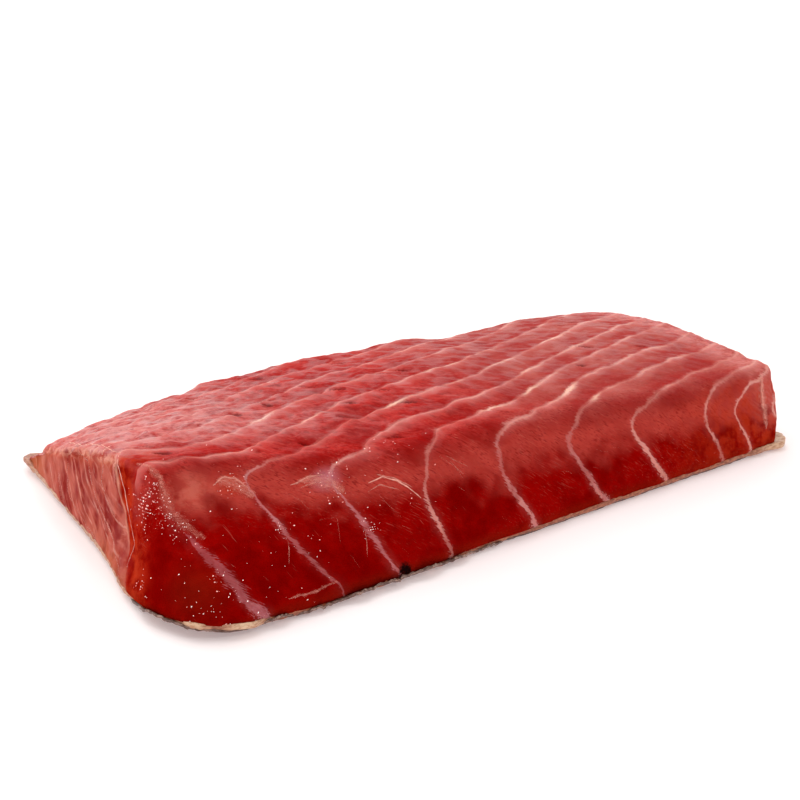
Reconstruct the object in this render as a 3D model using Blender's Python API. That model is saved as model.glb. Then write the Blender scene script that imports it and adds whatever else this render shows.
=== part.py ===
"""A raw tuna belly: one slab of red muscle on its fat and skin, lying skin side down.

The slab is long in X and wide in Y, and +Y is its back.  Three closed layers lie
on each other and run through the whole slab: flesh, fat_layer and skin.  Each one
starts as a cube cut into a grid, and every grid corner (u, v, w) is then moved to
its place in the slab: u runs from the left end to the right, v from the front cut
to the back, and w from the underside to the top.  Metres, +Z up.
"""

from math import atan, cos, exp, hypot, pi, sin, sqrt

import bmesh
import bpy
from mathutils import Vector

# Plan of the slab at its foot.  X is measured from the middle of its length.
LEFT_FRONT_X = -0.1665
LEFT_BACK_X = -0.1545
RIGHT_X = 0.1620
FRONT_LEFT_Y = -0.0925
FRONT_RIGHT_Y = -0.0800
BACK_LEFT_Y = 0.0885
BACK_RIGHT_Y = 0.0750

# How far the top edge of each side stands from its foot.  A span is the stretch of X
# over which a size changes to the next one.
LEFT_LEAN = 0.008
LEFT_LEAN_SHARE = 0.83
RIGHT_FLARE_FRONT = 0.0055
RIGHT_FLARE_BACK = 0.0025
BACK_LEAN = 0.0220
BACK_CURVE = 1.3
FRONT_LEAN_LEFT = 0.0460
FRONT_LEAN_MIDDLE = 0.0180
FRONT_LEAN_RIGHT = 0.0100
FRONT_LEAN_LEFT_SPAN = (-0.150, -0.045)
FRONT_LEAN_RIGHT_SPAN = (0.0, 0.120)
FRONT_CURVE = 1.8

# Plan radius of each upright corner at the foot and at the top.
CORNER_RADII = {
    ("left", "front"): (0.031, 0.020),
    ("right", "front"): (0.008, 0.008),
    ("left", "back"): (0.007, 0.007),
    ("right", "back"): (0.012, 0.012),
}

# Height of the flesh's top above the board.
CREST_LEFT = 0.0520
CREST_MIDDLE = 0.0440
CREST_RIGHT = 0.0368
CREST_LEFT_SPAN = (-0.160, -0.075)
CREST_RIGHT_SPAN = (-0.060, 0.140)
BACK_TIP_X = -0.156
BACK_RIM_TIP = 0.0160
BACK_RIM_RISE = 0.0225
BACK_RIM_REACH = 0.062
BACK_RIM_FALL = 0.0025
BACK_RIM_FALL_SPAN = (0.030, 0.120)
SADDLE_X = 0.060
SADDLE_DEPTH = 0.0035
SADDLE_WIDTH = 0.022
CROWN = 0.0062
CROWN_SPAN = (-0.190, -0.140)

# Radius of the rounding where the top meets each side.
SHOULDERS = {"front": 0.010, "back": 0.006, "left": 0.002, "right": 0.004}

# The layers, from the board up.  A small gap keeps them separate solids.
SKIN_THICKNESS = 0.0012
FAT_THICKNESS = 0.0020
LAYER_GAP = 0.0003

# The skin side curls off the board at the left end, and most at its front corner.
END_LIFT = 0.0010
END_LIFT_SPAN = (-0.128, -0.164)
CORNER_LIFT = 0.0030
CORNER_LIFT_REACH = 0.055

# Skin and fat reach past the flesh at the right end, next to the front.
FLAP_LENGTH = 0.0065
FLAP_SHARE = 0.25
FLAP_START = 0.90

# Cuts of each layer's grid, and how strongly they crowd towards its edges.
CUTS_LONG = 36
CUTS_WIDE = 20
CUTS_HIGH = 6
CROWDING = 0.65

COLLECTION_NAME = "raw_tuna_belly"


def ease(t):
    """Go smoothly from 0 to 1 as t does."""
    t = min(max(t, 0.0), 1.0)
    return t * t * (3.0 - 2.0 * t)


def ease_over(span, x):
    """Go smoothly from 0 to 1 as x crosses the span."""
    start, end = span
    return ease((x - start) / (end - start))


def mix(a, b, t):
    """The value a share t of the way from a to b."""
    return a + (b - a) * t


def front_lean(x):
    """How far the top of the front cut stands behind its foot."""
    lean = mix(FRONT_LEAN_LEFT, FRONT_LEAN_MIDDLE, ease_over(FRONT_LEAN_LEFT_SPAN, x))
    straighter = FRONT_LEAN_MIDDLE - FRONT_LEAN_RIGHT
    return lean - straighter * ease_over(FRONT_LEAN_RIGHT_SPAN, x)


def crest_height(x):
    """Height of the top along the front cut."""
    height = mix(CREST_LEFT, CREST_MIDDLE, ease_over(CREST_LEFT_SPAN, x))
    return height - (CREST_MIDDLE - CREST_RIGHT) * ease_over(CREST_RIGHT_SPAN, x)


def back_rim_height(x):
    """Height of the top along the back: thin at the left tip, with a shallow saddle."""
    rise = BACK_RIM_RISE * (1.0 - exp(-max(x - BACK_TIP_X, 0.0) / BACK_RIM_REACH))
    saddle = SADDLE_DEPTH * exp(-(((x - SADDLE_X) / SADDLE_WIDTH) ** 2))
    return BACK_RIM_TIP + rise - saddle - BACK_RIM_FALL * ease_over(BACK_RIM_FALL_SPAN, x)


def base_lift(x, y):
    """How far the underside has curled off the board."""
    end = END_LIFT * ease_over(END_LIFT_SPAN, x)
    from_corner = hypot(max(x - LEFT_FRONT_X, 0.0), max(y - FRONT_LEFT_Y, 0.0))
    return end + CORNER_LIFT * ease(1.0 - from_corner / CORNER_LIFT_REACH)


def end_x(side, v, w, flap):
    """X of the left or right end at width share v and height share w."""
    if side == "left":
        lean = LEFT_LEAN * (1.0 - ease(v / LEFT_LEAN_SHARE)) * w
        return mix(LEFT_FRONT_X, LEFT_BACK_X, v) + lean
    flare = mix(RIGHT_FLARE_FRONT, RIGHT_FLARE_BACK, v) * w
    return RIGHT_X + flap * ease(1.0 - v / FLAP_SHARE) + flare


def side_y(side, u, x, w):
    """Y of the front or back side at length share u, at this x and height share w."""
    if side == "front":
        return mix(FRONT_LEFT_Y, FRONT_RIGHT_Y, u) + front_lean(x) * w**FRONT_CURVE
    return mix(BACK_LEFT_Y, BACK_RIGHT_Y, u) - BACK_LEAN * w**BACK_CURVE


def bend_corner(x, y, corner_x, corner_y, inward_x, inward_y, radius):
    """Turn the square corner of the grid into an arc, without moving what is further in."""
    a = (x - corner_x) * inward_x
    b = (y - corner_y) * inward_y
    if a >= radius or b >= radius:
        return x, y
    p = 1.0 - a / radius
    q = 1.0 - b / radius
    reach = max(p, q)
    angle = pi / 4.0 * q / p if p >= q else pi / 2.0 - pi / 4.0 * p / q
    a = radius * (1.0 - reach * cos(angle))
    b = radius * (1.0 - reach * sin(angle))
    return corner_x + a * inward_x, corner_y + b * inward_y


def plan_point(u, v, w, flap=0.0):
    """X and Y of a grid corner, with the four upright corners rounded."""
    x = mix(end_x("left", v, w, flap), end_x("right", v, w, flap), u)
    y = mix(side_y("front", u, x, w), side_y("back", u, x, w), v)
    for (end, side), (foot_radius, top_radius) in CORNER_RADII.items():
        corner_u = 0.0 if end == "left" else 1.0
        corner_v = 0.0 if side == "front" else 1.0
        corner_x = end_x(end, corner_v, w, flap)
        corner_y = side_y(side, corner_u, corner_x, w)
        inward_x = 1.0 - 2.0 * corner_u
        inward_y = 1.0 - 2.0 * corner_v
        radius = mix(foot_radius, top_radius, w)
        x, y = bend_corner(x, y, corner_x, corner_y, inward_x, inward_y, radius)
    return x, y


def rounding(distance, radius):
    """How far a rounded edge has dropped at this distance in from it."""
    t = min(max(1.0 - distance / radius, 0.0), 1.0)
    return radius * (1.0 - sqrt(1.0 - t * t))


def top_height(u, v):
    """Height of the flesh's top: a gentle crown between the crest and the back rim."""
    x, y = plan_point(u, v, 1.0)
    front = side_y("front", u, x, 1.0)
    back = side_y("back", u, x, 1.0)
    share = min(max((y - front) / (back - front), 0.0), 1.0)
    crown = CROWN * 4.0 * share * (1.0 - share) * ease_over(CROWN_SPAN, x)
    height = mix(crest_height(x), back_rim_height(x), share) + crown
    width = BACK_LEFT_Y - FRONT_LEFT_Y
    length = RIGHT_X - LEFT_FRONT_X
    height -= rounding(v * width, SHOULDERS["front"])
    height -= rounding((1.0 - v) * width, SHOULDERS["back"])
    height -= rounding(u * length, SHOULDERS["left"])
    height -= rounding((1.0 - u) * length, SHOULDERS["right"])
    return height


def flesh_point(u, v, w):
    """Place a corner of the flesh's grid."""
    foot_x, foot_y = plan_point(u, v, 0.0)
    foot = SKIN_THICKNESS + FAT_THICKNESS + 2.0 * LAYER_GAP + base_lift(foot_x, foot_y)
    x, y = plan_point(u, v, w)
    return Vector((x, y, mix(foot, top_height(u, v), w)))


def sheet_point(u, v, w, low, high):
    """Place a corner of a sheet's grid that lies between two heights above the board."""
    flap = FLAP_LENGTH * ease_over((FLAP_START, 1.0), u)
    x, y = plan_point(u, v, 0.0, flap)
    return Vector((x, y, mix(low, high, w) + base_lift(x, y)))


def fat_point(u, v, w):
    """Place a corner of the fat layer's grid."""
    low = SKIN_THICKNESS + LAYER_GAP
    return sheet_point(u, v, w, low, low + FAT_THICKNESS)


def skin_point(u, v, w):
    """Place a corner of the skin's grid."""
    return sheet_point(u, v, w, 0.0, SKIN_THICKNESS)


def stations(cuts):
    """Shares of a side where it is cut, closer together near both of its ends."""
    even = [(i + 1) / (cuts + 1) for i in range(cuts)]
    return [mix(t, 0.5 - 0.5 * cos(pi * t), CROWDING) for t in even]


def grid_cube(cuts_up):
    """A cube from 0 to 1 on every axis, cut into a grid."""
    mesh = bmesh.new()
    bmesh.ops.create_cube(mesh, size=1.0)
    bmesh.ops.translate(mesh, verts=mesh.verts, vec=(0.5, 0.5, 0.5))
    even_up = [(i + 1) / (cuts_up + 1) for i in range(cuts_up)]
    for axis, shares in enumerate((stations(CUTS_LONG), stations(CUTS_WIDE), even_up)):
        for share in shares:
            point = Vector()
            normal = Vector()
            point[axis] = share
            normal[axis] = 1.0
            everything = mesh.verts[:] + mesh.edges[:] + mesh.faces[:]
            bmesh.ops.bisect_plane(mesh, geom=everything, plane_co=point, plane_no=normal)
    return mesh


def layer_material(name, color, roughness):
    """A plain material with one colour."""
    material = bpy.data.materials.new(name)
    material.use_nodes = True
    shader = material.node_tree.nodes["Principled BSDF"]
    shader.inputs["Base Color"].default_value = (*color, 1.0)
    shader.inputs["Roughness"].default_value = roughness
    shader.inputs["Metallic"].default_value = 0.0
    return material


def make_layer(name, place, cuts_up, color, roughness, collection):
    """Cut a cube into a grid, move its corners into place, and keep it as an object."""
    grid = grid_cube(cuts_up)
    for vertex in grid.verts:
        vertex.co = place(*vertex.co)
    bmesh.ops.recalc_face_normals(grid, faces=grid.faces)
    mesh = bpy.data.meshes.new(name)
    grid.to_mesh(mesh)
    grid.free()
    mesh.materials.append(layer_material(name, color, roughness))
    mesh.shade_smooth()
    mesh.set_sharp_from_angle(angle=atan(1.0))
    layer = bpy.data.objects.new(name, mesh)
    collection.objects.link(layer)
    return layer


def centre_on_board(layers):
    """Move the slab so that the middle of its footprint is at X = Y = 0."""
    corners = [vertex.co for layer in layers for vertex in layer.data.vertices]
    middle = Vector()
    for axis in (0, 1):
        values = [corner[axis] for corner in corners]
        middle[axis] = 0.5 * (min(values) + max(values))
    for layer in layers:
        for vertex in layer.data.vertices:
            vertex.co -= middle


def build_tuna_belly():
    """Make the three layers of the slab."""
    for old in list(bpy.data.objects):
        bpy.data.objects.remove(old, do_unlink=True)
    collection = bpy.data.collections.new(COLLECTION_NAME)
    bpy.context.scene.collection.children.link(collection)
    layers = [
        make_layer("flesh", flesh_point, CUTS_HIGH, (0.36, 0.045, 0.035), 0.30, collection),
        make_layer("fat_layer", fat_point, 0, (0.66, 0.44, 0.28), 0.40, collection),
        make_layer("skin", skin_point, 0, (0.10, 0.075, 0.060), 0.35, collection),
    ]
    centre_on_board(layers)


build_tuna_belly()
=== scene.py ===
# %% [markdown]
# # Raw tuna belly: the looks
#
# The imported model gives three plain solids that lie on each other: red flesh, a thin layer
# of fat under it, and the skin. This lesson gives each of them a finely worked mesh and a
# finish of its own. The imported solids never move, so the new pieces are made in the same
# frame, in metres, and then stand in for them.

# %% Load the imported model
from math import cos, pi, radians, sin

import bpy
import numpy as np
from mathutils import Matrix, Vector
from mathutils.bvhtree import BVHTree


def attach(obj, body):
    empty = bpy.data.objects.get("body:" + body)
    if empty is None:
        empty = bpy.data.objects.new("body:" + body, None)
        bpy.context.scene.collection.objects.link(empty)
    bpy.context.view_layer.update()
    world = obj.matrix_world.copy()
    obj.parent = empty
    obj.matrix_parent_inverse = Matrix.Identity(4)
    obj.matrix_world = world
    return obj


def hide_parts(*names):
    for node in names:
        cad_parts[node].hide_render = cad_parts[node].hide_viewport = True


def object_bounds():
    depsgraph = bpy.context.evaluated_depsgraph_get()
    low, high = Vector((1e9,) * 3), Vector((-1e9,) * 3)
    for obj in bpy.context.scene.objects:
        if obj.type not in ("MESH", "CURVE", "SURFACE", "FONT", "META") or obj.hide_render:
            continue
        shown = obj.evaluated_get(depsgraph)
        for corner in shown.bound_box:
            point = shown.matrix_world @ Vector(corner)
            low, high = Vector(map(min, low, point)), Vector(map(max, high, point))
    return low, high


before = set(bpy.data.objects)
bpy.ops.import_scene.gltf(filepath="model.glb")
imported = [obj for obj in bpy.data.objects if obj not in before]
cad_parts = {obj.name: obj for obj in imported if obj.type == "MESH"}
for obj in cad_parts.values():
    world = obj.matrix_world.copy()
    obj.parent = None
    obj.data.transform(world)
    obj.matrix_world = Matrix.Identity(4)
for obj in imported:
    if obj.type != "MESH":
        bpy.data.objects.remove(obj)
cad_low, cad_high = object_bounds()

MM = 0.001
print("packed model, mm:", [round(side / MM, 1) for side in cad_high - cad_low])

# %% [markdown]
# ## The camera
#
# The slab lies on a table and is seen from a standing cook's side: from its front left,
# a little above, through a short telephoto lens. A long lens keeps the far end from
# shrinking too much. The camera is turned in three plain steps: heading, dip and roll.

# %% Camera
CAMERA_PLACE = (-0.3557, -0.47345, 0.270)
CAMERA_HEADING = radians(-36.0)
CAMERA_DIP = radians(22.0)
CAMERA_ROLL = radians(2.0)
CAMERA_LENS = 62.55


def make_camera():
    """Put the camera in place and make it the scene's camera."""
    data = bpy.data.cameras.new("camera")
    data.lens = CAMERA_LENS
    data.clip_start = 0.01
    camera = bpy.data.objects.new("camera", data)
    heading = Matrix.Rotation(CAMERA_HEADING, 4, "Z")
    dip = Matrix.Rotation(pi / 2.0 - CAMERA_DIP, 4, "X")
    roll = Matrix.Rotation(CAMERA_ROLL, 4, "Z")
    camera.matrix_world = Matrix.Translation(CAMERA_PLACE) @ heading @ dip @ roll
    bpy.context.scene.collection.objects.link(camera)
    bpy.context.scene.camera = camera


make_camera()
print("camera looks down by", round(CAMERA_DIP * 180.0 / pi), "degrees")

# %% [markdown]
# ## Writing finishes as sums
#
# A finish is a graph of nodes. Wired by hand it is long and hard to read, so a small class
# wraps a node's output and turns Python's own signs into Math nodes: `1 - mask` is a node.
# Every other node comes from one method, which takes the node's type, its settings, and the
# values or links of its sockets.

# %% Wires
class Wire:
    """A number that changes over a surface. Sums on wires add Math nodes."""

    def __init__(self, finish, socket):
        self.finish = finish
        self.socket = socket

    def math(self, operation, *terms):
        """Add one Math node and give its result."""
        node = self.finish.add("ShaderNodeMath", {"operation": operation}, dict(enumerate(terms)))
        return Wire(self.finish, node.outputs[0])

    def __add__(self, other):
        return self.math("ADD", self, other)

    __radd__ = __add__

    def __sub__(self, other):
        return self.math("SUBTRACT", self, other)

    def __rsub__(self, other):
        return self.math("SUBTRACT", other, self)

    def __mul__(self, other):
        return self.math("MULTIPLY", self, other)

    __rmul__ = __mul__

    def __abs__(self):
        return self.math("ABSOLUTE", self)

    def fraction(self):
        """What is left after the whole number is taken away."""
        return self.math("FRACT", self)

    def rise(self, start, end):
        """Go smoothly from 0 to 1 as the number goes from start to end."""
        settings = {"interpolation_type": "SMOOTHSTEP"}
        sockets = {"Value": self, "From Min": start, "From Max": end}
        node = self.finish.add("ShaderNodeMapRange", settings, sockets)
        return Wire(self.finish, node.outputs[0])


print("wires know +, -, * and abs()")

# %% [markdown]
# The second class holds the graph itself. Its `add` makes any node. The rest are short names
# for what most finishes need, such as a stored number, a noise or a blend of two colours.

# %% Finishes
class Finish:
    """A node graph in the making."""

    def __init__(self, tree):
        self.tree = tree
        tree.nodes.clear()

    def add(self, kind, settings=None, sockets=None):
        """Add a node, set it up, and fill its sockets with values or links."""
        node = self.tree.nodes.new(kind)
        for name, value in (settings or {}).items():
            setattr(node, name, value)
        for name, value in (sockets or {}).items():
            if isinstance(value, Wire):
                value = value.socket
            if isinstance(value, bpy.types.NodeSocket):
                self.tree.links.new(value, node.inputs[name])
            else:
                node.inputs[name].default_value = value
        return node

    def field(self, name):
        """A number stored on the mesh's corners."""
        settings = {"attribute_type": "GEOMETRY", "attribute_name": name}
        node = self.add("ShaderNodeAttribute", settings)
        return Wire(self, node.outputs["Fac"])

    def grain(self, cell, turn=(0.0, 0.0, 0.0)):
        """Places on the piece counted in cells of this size in mm, turned with the grain."""
        place = self.add("ShaderNodeTexCoord").outputs["Object"]
        size = [side * MM for side in cell]
        sockets = {"Vector": place, "Rotation": turn, "Scale": size}
        node = self.add("ShaderNodeMapping", {"vector_type": "TEXTURE"}, sockets)
        return node.outputs[0]

    def noise(self, place, detail=2.0, roughness=0.5, distortion=0.0):
        """Soft random patches about one cell wide, from 0 to 1."""
        sockets = {"Vector": place, "Scale": 1.0, "Detail": detail}
        sockets.update({"Roughness": roughness, "Distortion": distortion})
        node = self.add("ShaderNodeTexNoise", {}, sockets)
        return Wire(self, node.outputs[0])

    def blend(self, under, over, share):
        """Lay one colour over another."""
        sockets = {0: share, 6: under, 7: over}
        node = self.add("ShaderNodeMix", {"data_type": "RGBA"}, sockets)
        return node.outputs[2]

    def layers(self, color, layers):
        """Lay several colours over another, one by one, each with its share."""
        for over, share in layers:
            color = self.blend(color, over, share)
        return color

    def bump(self, height):
        """Turn a height in mm into a finely tilted surface."""
        sockets = {"Height": height, "Distance": MM, "Strength": 1.0}
        return self.add("ShaderNodeBump", {}, sockets).outputs[0]

    def shader(self, settings):
        """A Principled shader."""
        return self.add("ShaderNodeBsdfPrincipled", {}, settings).outputs[0]

    def end(self, shader):
        """Make this shader the material's surface."""
        self.add("ShaderNodeOutputMaterial", {}, {"Surface": shader})

    def surface(self, settings):
        """End the graph in one Principled shader."""
        self.end(self.shader(settings))


def new_material(name):
    """An empty material, and the finish that fills it."""
    material = bpy.data.materials.new(name)
    material.use_nodes = True
    return material, Finish(material.node_tree)


print("a finish can be started with new_material")

# %% [markdown]
# ## Floor and light
#
# The slab lies on a pale floor that fills the view. The floor itself glows a little, pink
# like the light that leaks through the flesh, because a floor that only reflects gives grey,
# heavy shadows.

# %% Floor
FLOOR_SIZE = 14.0
FLOOR_COLOR = (0.78, 0.755, 0.745, 1.0)
FLOOR_GLOW = 0.30
FLOOR_GLOW_COLOR = (1.0, 0.80, 0.80, 1.0)


def make_floor():
    """A wide plain floor under the slab."""
    bpy.ops.mesh.primitive_plane_add(size=FLOOR_SIZE, location=(0.0, 0.0, 0.0))
    floor = bpy.context.object
    floor.name = "floor"
    material, finish = new_material("floor_paint")
    speckle = finish.noise(finish.grain((3.0, 3.0, 3.0)), detail=4.0)
    finish.surface({
        "Base Color": FLOOR_COLOR,
        "Roughness": 0.5 + 0.1 * speckle,
        "Emission Color": FLOOR_GLOW_COLOR,
        "Emission Strength": FLOOR_GLOW,
    })
    floor.data.materials.append(material)


make_floor()
print("floor, m:", FLOOR_SIZE, "wide")

# %% [markdown]
# The light is soft and comes from all round, a little stronger from behind. A bright panel
# stands low at the back: at a glancing angle the wet top mirrors it, which gives the top a
# pink veil. Both are painted on the sky, where they can be as soft as they need to be. The
# camera itself only ever sees a plain wall.

# %% Sky
SKY_COLOR = (1.0, 0.985, 0.98, 1.0)
SKY_BACK = 0.80
SKY_FRONT = 0.62
PANEL = 0.7
PANEL_AIM = (0.17, 0.98)


def make_sky():
    """A room that is brighter behind, with a soft panel low at the back."""
    world = bpy.data.worlds.new("studio")
    bpy.context.scene.world = world
    world.use_nodes = True
    finish = Finish(world.node_tree)
    place = finish.add("ShaderNodeTexCoord").outputs["Generated"]
    axes = finish.add("ShaderNodeSeparateXYZ", {}, {0: place})
    towards_back = Wire(finish, axes.outputs["Y"])
    upwards = Wire(finish, axes.outputs["Z"])
    rightwards = Wire(finish, axes.outputs["X"])
    share = (towards_back + 0.55 * upwards - 0.25 * rightwards).rise(-0.30, 0.60)
    facing = PANEL_AIM[0] * rightwards + PANEL_AIM[1] * towards_back
    panel = facing.rise(0.62, 0.95) * upwards.rise(-0.05, 0.20)
    panel = panel * (1.0 - upwards.rise(0.48, 0.72))
    glow = SKY_FRONT + (SKY_BACK - SKY_FRONT) * share + PANEL * panel
    sockets = {"Color": SKY_COLOR, "Strength": glow}
    room = finish.add("ShaderNodeBackground", {}, sockets)
    wall = finish.add("ShaderNodeBackground", {}, {"Strength": 1.0})
    seen = finish.add("ShaderNodeLightPath").outputs["Is Camera Ray"]
    sockets = {0: seen, 1: room.outputs[0], 2: wall.outputs[0]}
    both = finish.add("ShaderNodeMixShader", {}, sockets)
    finish.add("ShaderNodeOutputWorld", {}, {"Surface": both.outputs[0]})


make_sky()
print("sky glows from", SKY_FRONT, "in front to", SKY_BACK, "behind")

# %% [markdown]
# A wide, soft lamp from behind shapes the bands, and a small, weak one in front lights the
# wet sparkles. Colours are shown just as they are worked out, with no film-like curve.

# %% Lamps
SOFT_SUN = 1.45
SOFT_SUN_SPREAD = radians(65.0)
SOFT_SUN_TURN = (radians(-30.0), radians(-14.0), 0.0)
SPARK_SUN = 0.35
SPARK_SUN_SPREAD = radians(8.0)
SPARK_SUN_TURN = (radians(38.0), radians(11.0), 0.0)


def make_sun(name, strength, spread, turn):
    """A lamp so far away that it lights everything alike."""
    data = bpy.data.lights.new(name, "SUN")
    data.energy = strength
    data.angle = spread
    sun = bpy.data.objects.new(name, data)
    sun.rotation_euler = turn
    bpy.context.scene.collection.objects.link(sun)


make_sun("soft_light", SOFT_SUN, SOFT_SUN_SPREAD, SOFT_SUN_TURN)
make_sun("spark_light", SPARK_SUN, SPARK_SUN_SPREAD, SPARK_SUN_TURN)
bpy.context.scene.view_settings.view_transform = "Standard"
print("the soft lamp is", round(SOFT_SUN / SPARK_SUN, 1), "times as strong as the small one")

# %% [markdown]
# ## The slab's form
#
# The slab was cut from a fish's side: a long front cut that leans back, most at its left
# end, a top that falls gently to a thinner back, and rounded corners. The form is worked
# out by functions of three shares: u along the slab, v across it and w up it. The same
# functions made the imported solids, so the fine meshes fit them with no measuring.

# %% Blending helpers
def ease(t):
    """Go smoothly from 0 to 1 as t does."""
    t = np.clip(t, 0.0, 1.0)
    return t * t * (3.0 - 2.0 * t)


def ease_over(span, x):
    """Go smoothly from 0 to 1 as x crosses the span."""
    start, end = span
    return ease((x - start) / (end - start))


def mix(a, b, t):
    """The value a share t of the way from a to b."""
    return a + (b - a) * t


def hill(away, width):
    """1 at a place, falling off like a smooth hill on both sides of it."""
    return np.exp(-((away / width) ** 2))


print("halfway, ease gives", ease(0.5), "and a quarter of the way", round(float(ease(0.25)), 2))

# %% [markdown]
# Seen from above, the outline is nearly a rectangle. Its front slants and leans back, most
# at the left. The left end leans in and the right end flares out. At the front right a short
# flap of fat and skin reaches past the flesh.

# %% The outline of the slab
LEFT_FRONT_X = -0.1665
LEFT_BACK_X = -0.1545
RIGHT_X = 0.1620
FRONT_LEFT_Y = -0.0925
FRONT_RIGHT_Y = -0.0800
BACK_LEFT_Y = 0.0885
BACK_RIGHT_Y = 0.0750
LEFT_LEAN = 0.008
LEFT_LEAN_SHARE = 0.83
RIGHT_FLARE_FRONT = 0.0055
RIGHT_FLARE_BACK = 0.0025
BACK_LEAN = 0.0220
BACK_CURVE = 1.3
FRONT_LEAN_LEFT = 0.0460
FRONT_LEAN_MIDDLE = 0.0180
FRONT_LEAN_RIGHT = 0.0100
FRONT_LEAN_LEFT_SPAN = (-0.150, -0.045)
FRONT_LEAN_RIGHT_SPAN = (0.0, 0.120)
FRONT_CURVE = 1.8
FLAP_LENGTH = 0.0065
FLAP_SHARE = 0.25
FLAP_START = 0.90


def front_lean(x):
    """How far the top of the front cut stands behind its foot."""
    lean = mix(FRONT_LEAN_LEFT, FRONT_LEAN_MIDDLE, ease_over(FRONT_LEAN_LEFT_SPAN, x))
    straighter = FRONT_LEAN_MIDDLE - FRONT_LEAN_RIGHT
    return lean - straighter * ease_over(FRONT_LEAN_RIGHT_SPAN, x)


def end_x(side, v, w, flap):
    """X of the left or right end."""
    if side == "left":
        lean = LEFT_LEAN * (1.0 - ease(v / LEFT_LEAN_SHARE)) * w
        return mix(LEFT_FRONT_X, LEFT_BACK_X, v) + lean
    flare = mix(RIGHT_FLARE_FRONT, RIGHT_FLARE_BACK, v) * w
    return RIGHT_X + flap * ease(1.0 - v / FLAP_SHARE) + flare


def side_y(side, u, x, w):
    """Y of the front or back side."""
    if side == "front":
        return mix(FRONT_LEFT_Y, FRONT_RIGHT_Y, u) + front_lean(x) * w**FRONT_CURVE
    return mix(BACK_LEFT_Y, BACK_RIGHT_Y, u) - BACK_LEAN * w**BACK_CURVE


print("the front leans back by up to", round(FRONT_LEAN_LEFT / MM), "mm")

# %% [markdown]
# The four upright corners are rounded. Points of a grid can't be trimmed to an arc, because
# its cells would be cut open, so each square corner is bent into an arc instead. The points
# keep their order, and those nearest the corner move furthest inwards.

# %% Rounded corners
# For each corner: its radius at the foot and at the top.
CORNER_RADII = {
    ("left", "front"): (0.031, 0.020),
    ("right", "front"): (0.008, 0.008),
    ("left", "back"): (0.007, 0.007),
    ("right", "back"): (0.012, 0.012),
}


def bend_corner(x, y, corner, inward, radius):
    """Turn the square corner of the grid into an arc."""
    a = (x - corner[0]) * inward[0]
    b = (y - corner[1]) * inward[1]
    inside = (a < radius) & (b < radius)
    p = np.maximum(1.0 - a / radius, 1e-9)
    q = np.maximum(1.0 - b / radius, 1e-9)
    reach = np.maximum(p, q)
    angle = np.where(p >= q, pi / 4.0 * q / p, pi / 2.0 - pi / 4.0 * p / q)
    bent_a = np.where(inside, radius * (1.0 - reach * np.cos(angle)), a)
    bent_b = np.where(inside, radius * (1.0 - reach * np.sin(angle)), b)
    return corner[0] + bent_a * inward[0], corner[1] + bent_b * inward[1]


def plan_point(u, v, w, flap=0.0):
    """X and Y of a point of the slab, with the four upright corners rounded."""
    x = mix(end_x("left", v, w, flap), end_x("right", v, w, flap), u)
    y = mix(side_y("front", u, x, w), side_y("back", u, x, w), v)
    for (end, side), (foot_radius, top_radius) in CORNER_RADII.items():
        corner_u = 0.0 if end == "left" else 1.0
        corner_v = 0.0 if side == "front" else 1.0
        corner_x = end_x(end, corner_v, w, flap)
        corner = (corner_x, side_y(side, corner_u, corner_x, w))
        inward = (1.0 - 2.0 * corner_u, 1.0 - 2.0 * corner_v)
        x, y = bend_corner(x, y, corner, inward, mix(foot_radius, top_radius, w))
    return x, y


print("the outline has", len(CORNER_RADII), "rounded corners")

# %% [markdown]
# The slab is tallest along its front cut, where it also falls off to the right. Behind, it
# thins to a tip at the left and has a shallow saddle right of the middle. Between the two the
# top is a little crowned, and its edges are rounded over. Underneath, the left end and the
# front left corner have curled off the floor.

# %% The height of the slab
CREST_LEFT = 0.0520
CREST_MIDDLE = 0.0440
CREST_RIGHT = 0.0368
CREST_LEFT_SPAN = (-0.160, -0.075)
CREST_RIGHT_SPAN = (-0.060, 0.140)
BACK_TIP_X = -0.156
BACK_RIM_TIP = 0.0160
BACK_RIM_RISE = 0.0225
BACK_RIM_REACH = 0.062
BACK_RIM_FALL = 0.0025
BACK_RIM_FALL_SPAN = (0.030, 0.120)
SADDLE_X = 0.060
SADDLE_DEPTH = 0.0035
SADDLE_WIDTH = 0.022
CROWN = 0.0062
CROWN_SPAN = (-0.190, -0.140)
SHOULDERS = {"front": 0.010, "back": 0.006, "left": 0.002, "right": 0.004}
SKIN_THICKNESS = 0.0012
FAT_THICKNESS = 0.0020
LAYER_GAP = 0.0003
END_LIFT = 0.0010
END_LIFT_SPAN = (-0.128, -0.164)
CORNER_LIFT = 0.0030
CORNER_LIFT_REACH = 0.055


def crest_height(x):
    """Height of the top along the front cut."""
    height = mix(CREST_LEFT, CREST_MIDDLE, ease_over(CREST_LEFT_SPAN, x))
    return height - (CREST_MIDDLE - CREST_RIGHT) * ease_over(CREST_RIGHT_SPAN, x)


def back_rim_height(x):
    """Height of the top along the back: thin at the left tip, with a shallow saddle."""
    rise = BACK_RIM_RISE * (1.0 - np.exp(-np.maximum(x - BACK_TIP_X, 0.0) / BACK_RIM_REACH))
    saddle = SADDLE_DEPTH * hill(x - SADDLE_X, SADDLE_WIDTH)
    return BACK_RIM_TIP + rise - saddle - BACK_RIM_FALL * ease_over(BACK_RIM_FALL_SPAN, x)


def base_lift(x, y):
    """How far the underside has curled off the floor."""
    end = END_LIFT * ease_over(END_LIFT_SPAN, x)
    from_corner = np.hypot(np.maximum(x - LEFT_FRONT_X, 0.0), np.maximum(y - FRONT_LEFT_Y, 0.0))
    return end + CORNER_LIFT * ease(1.0 - from_corner / CORNER_LIFT_REACH)


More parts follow.
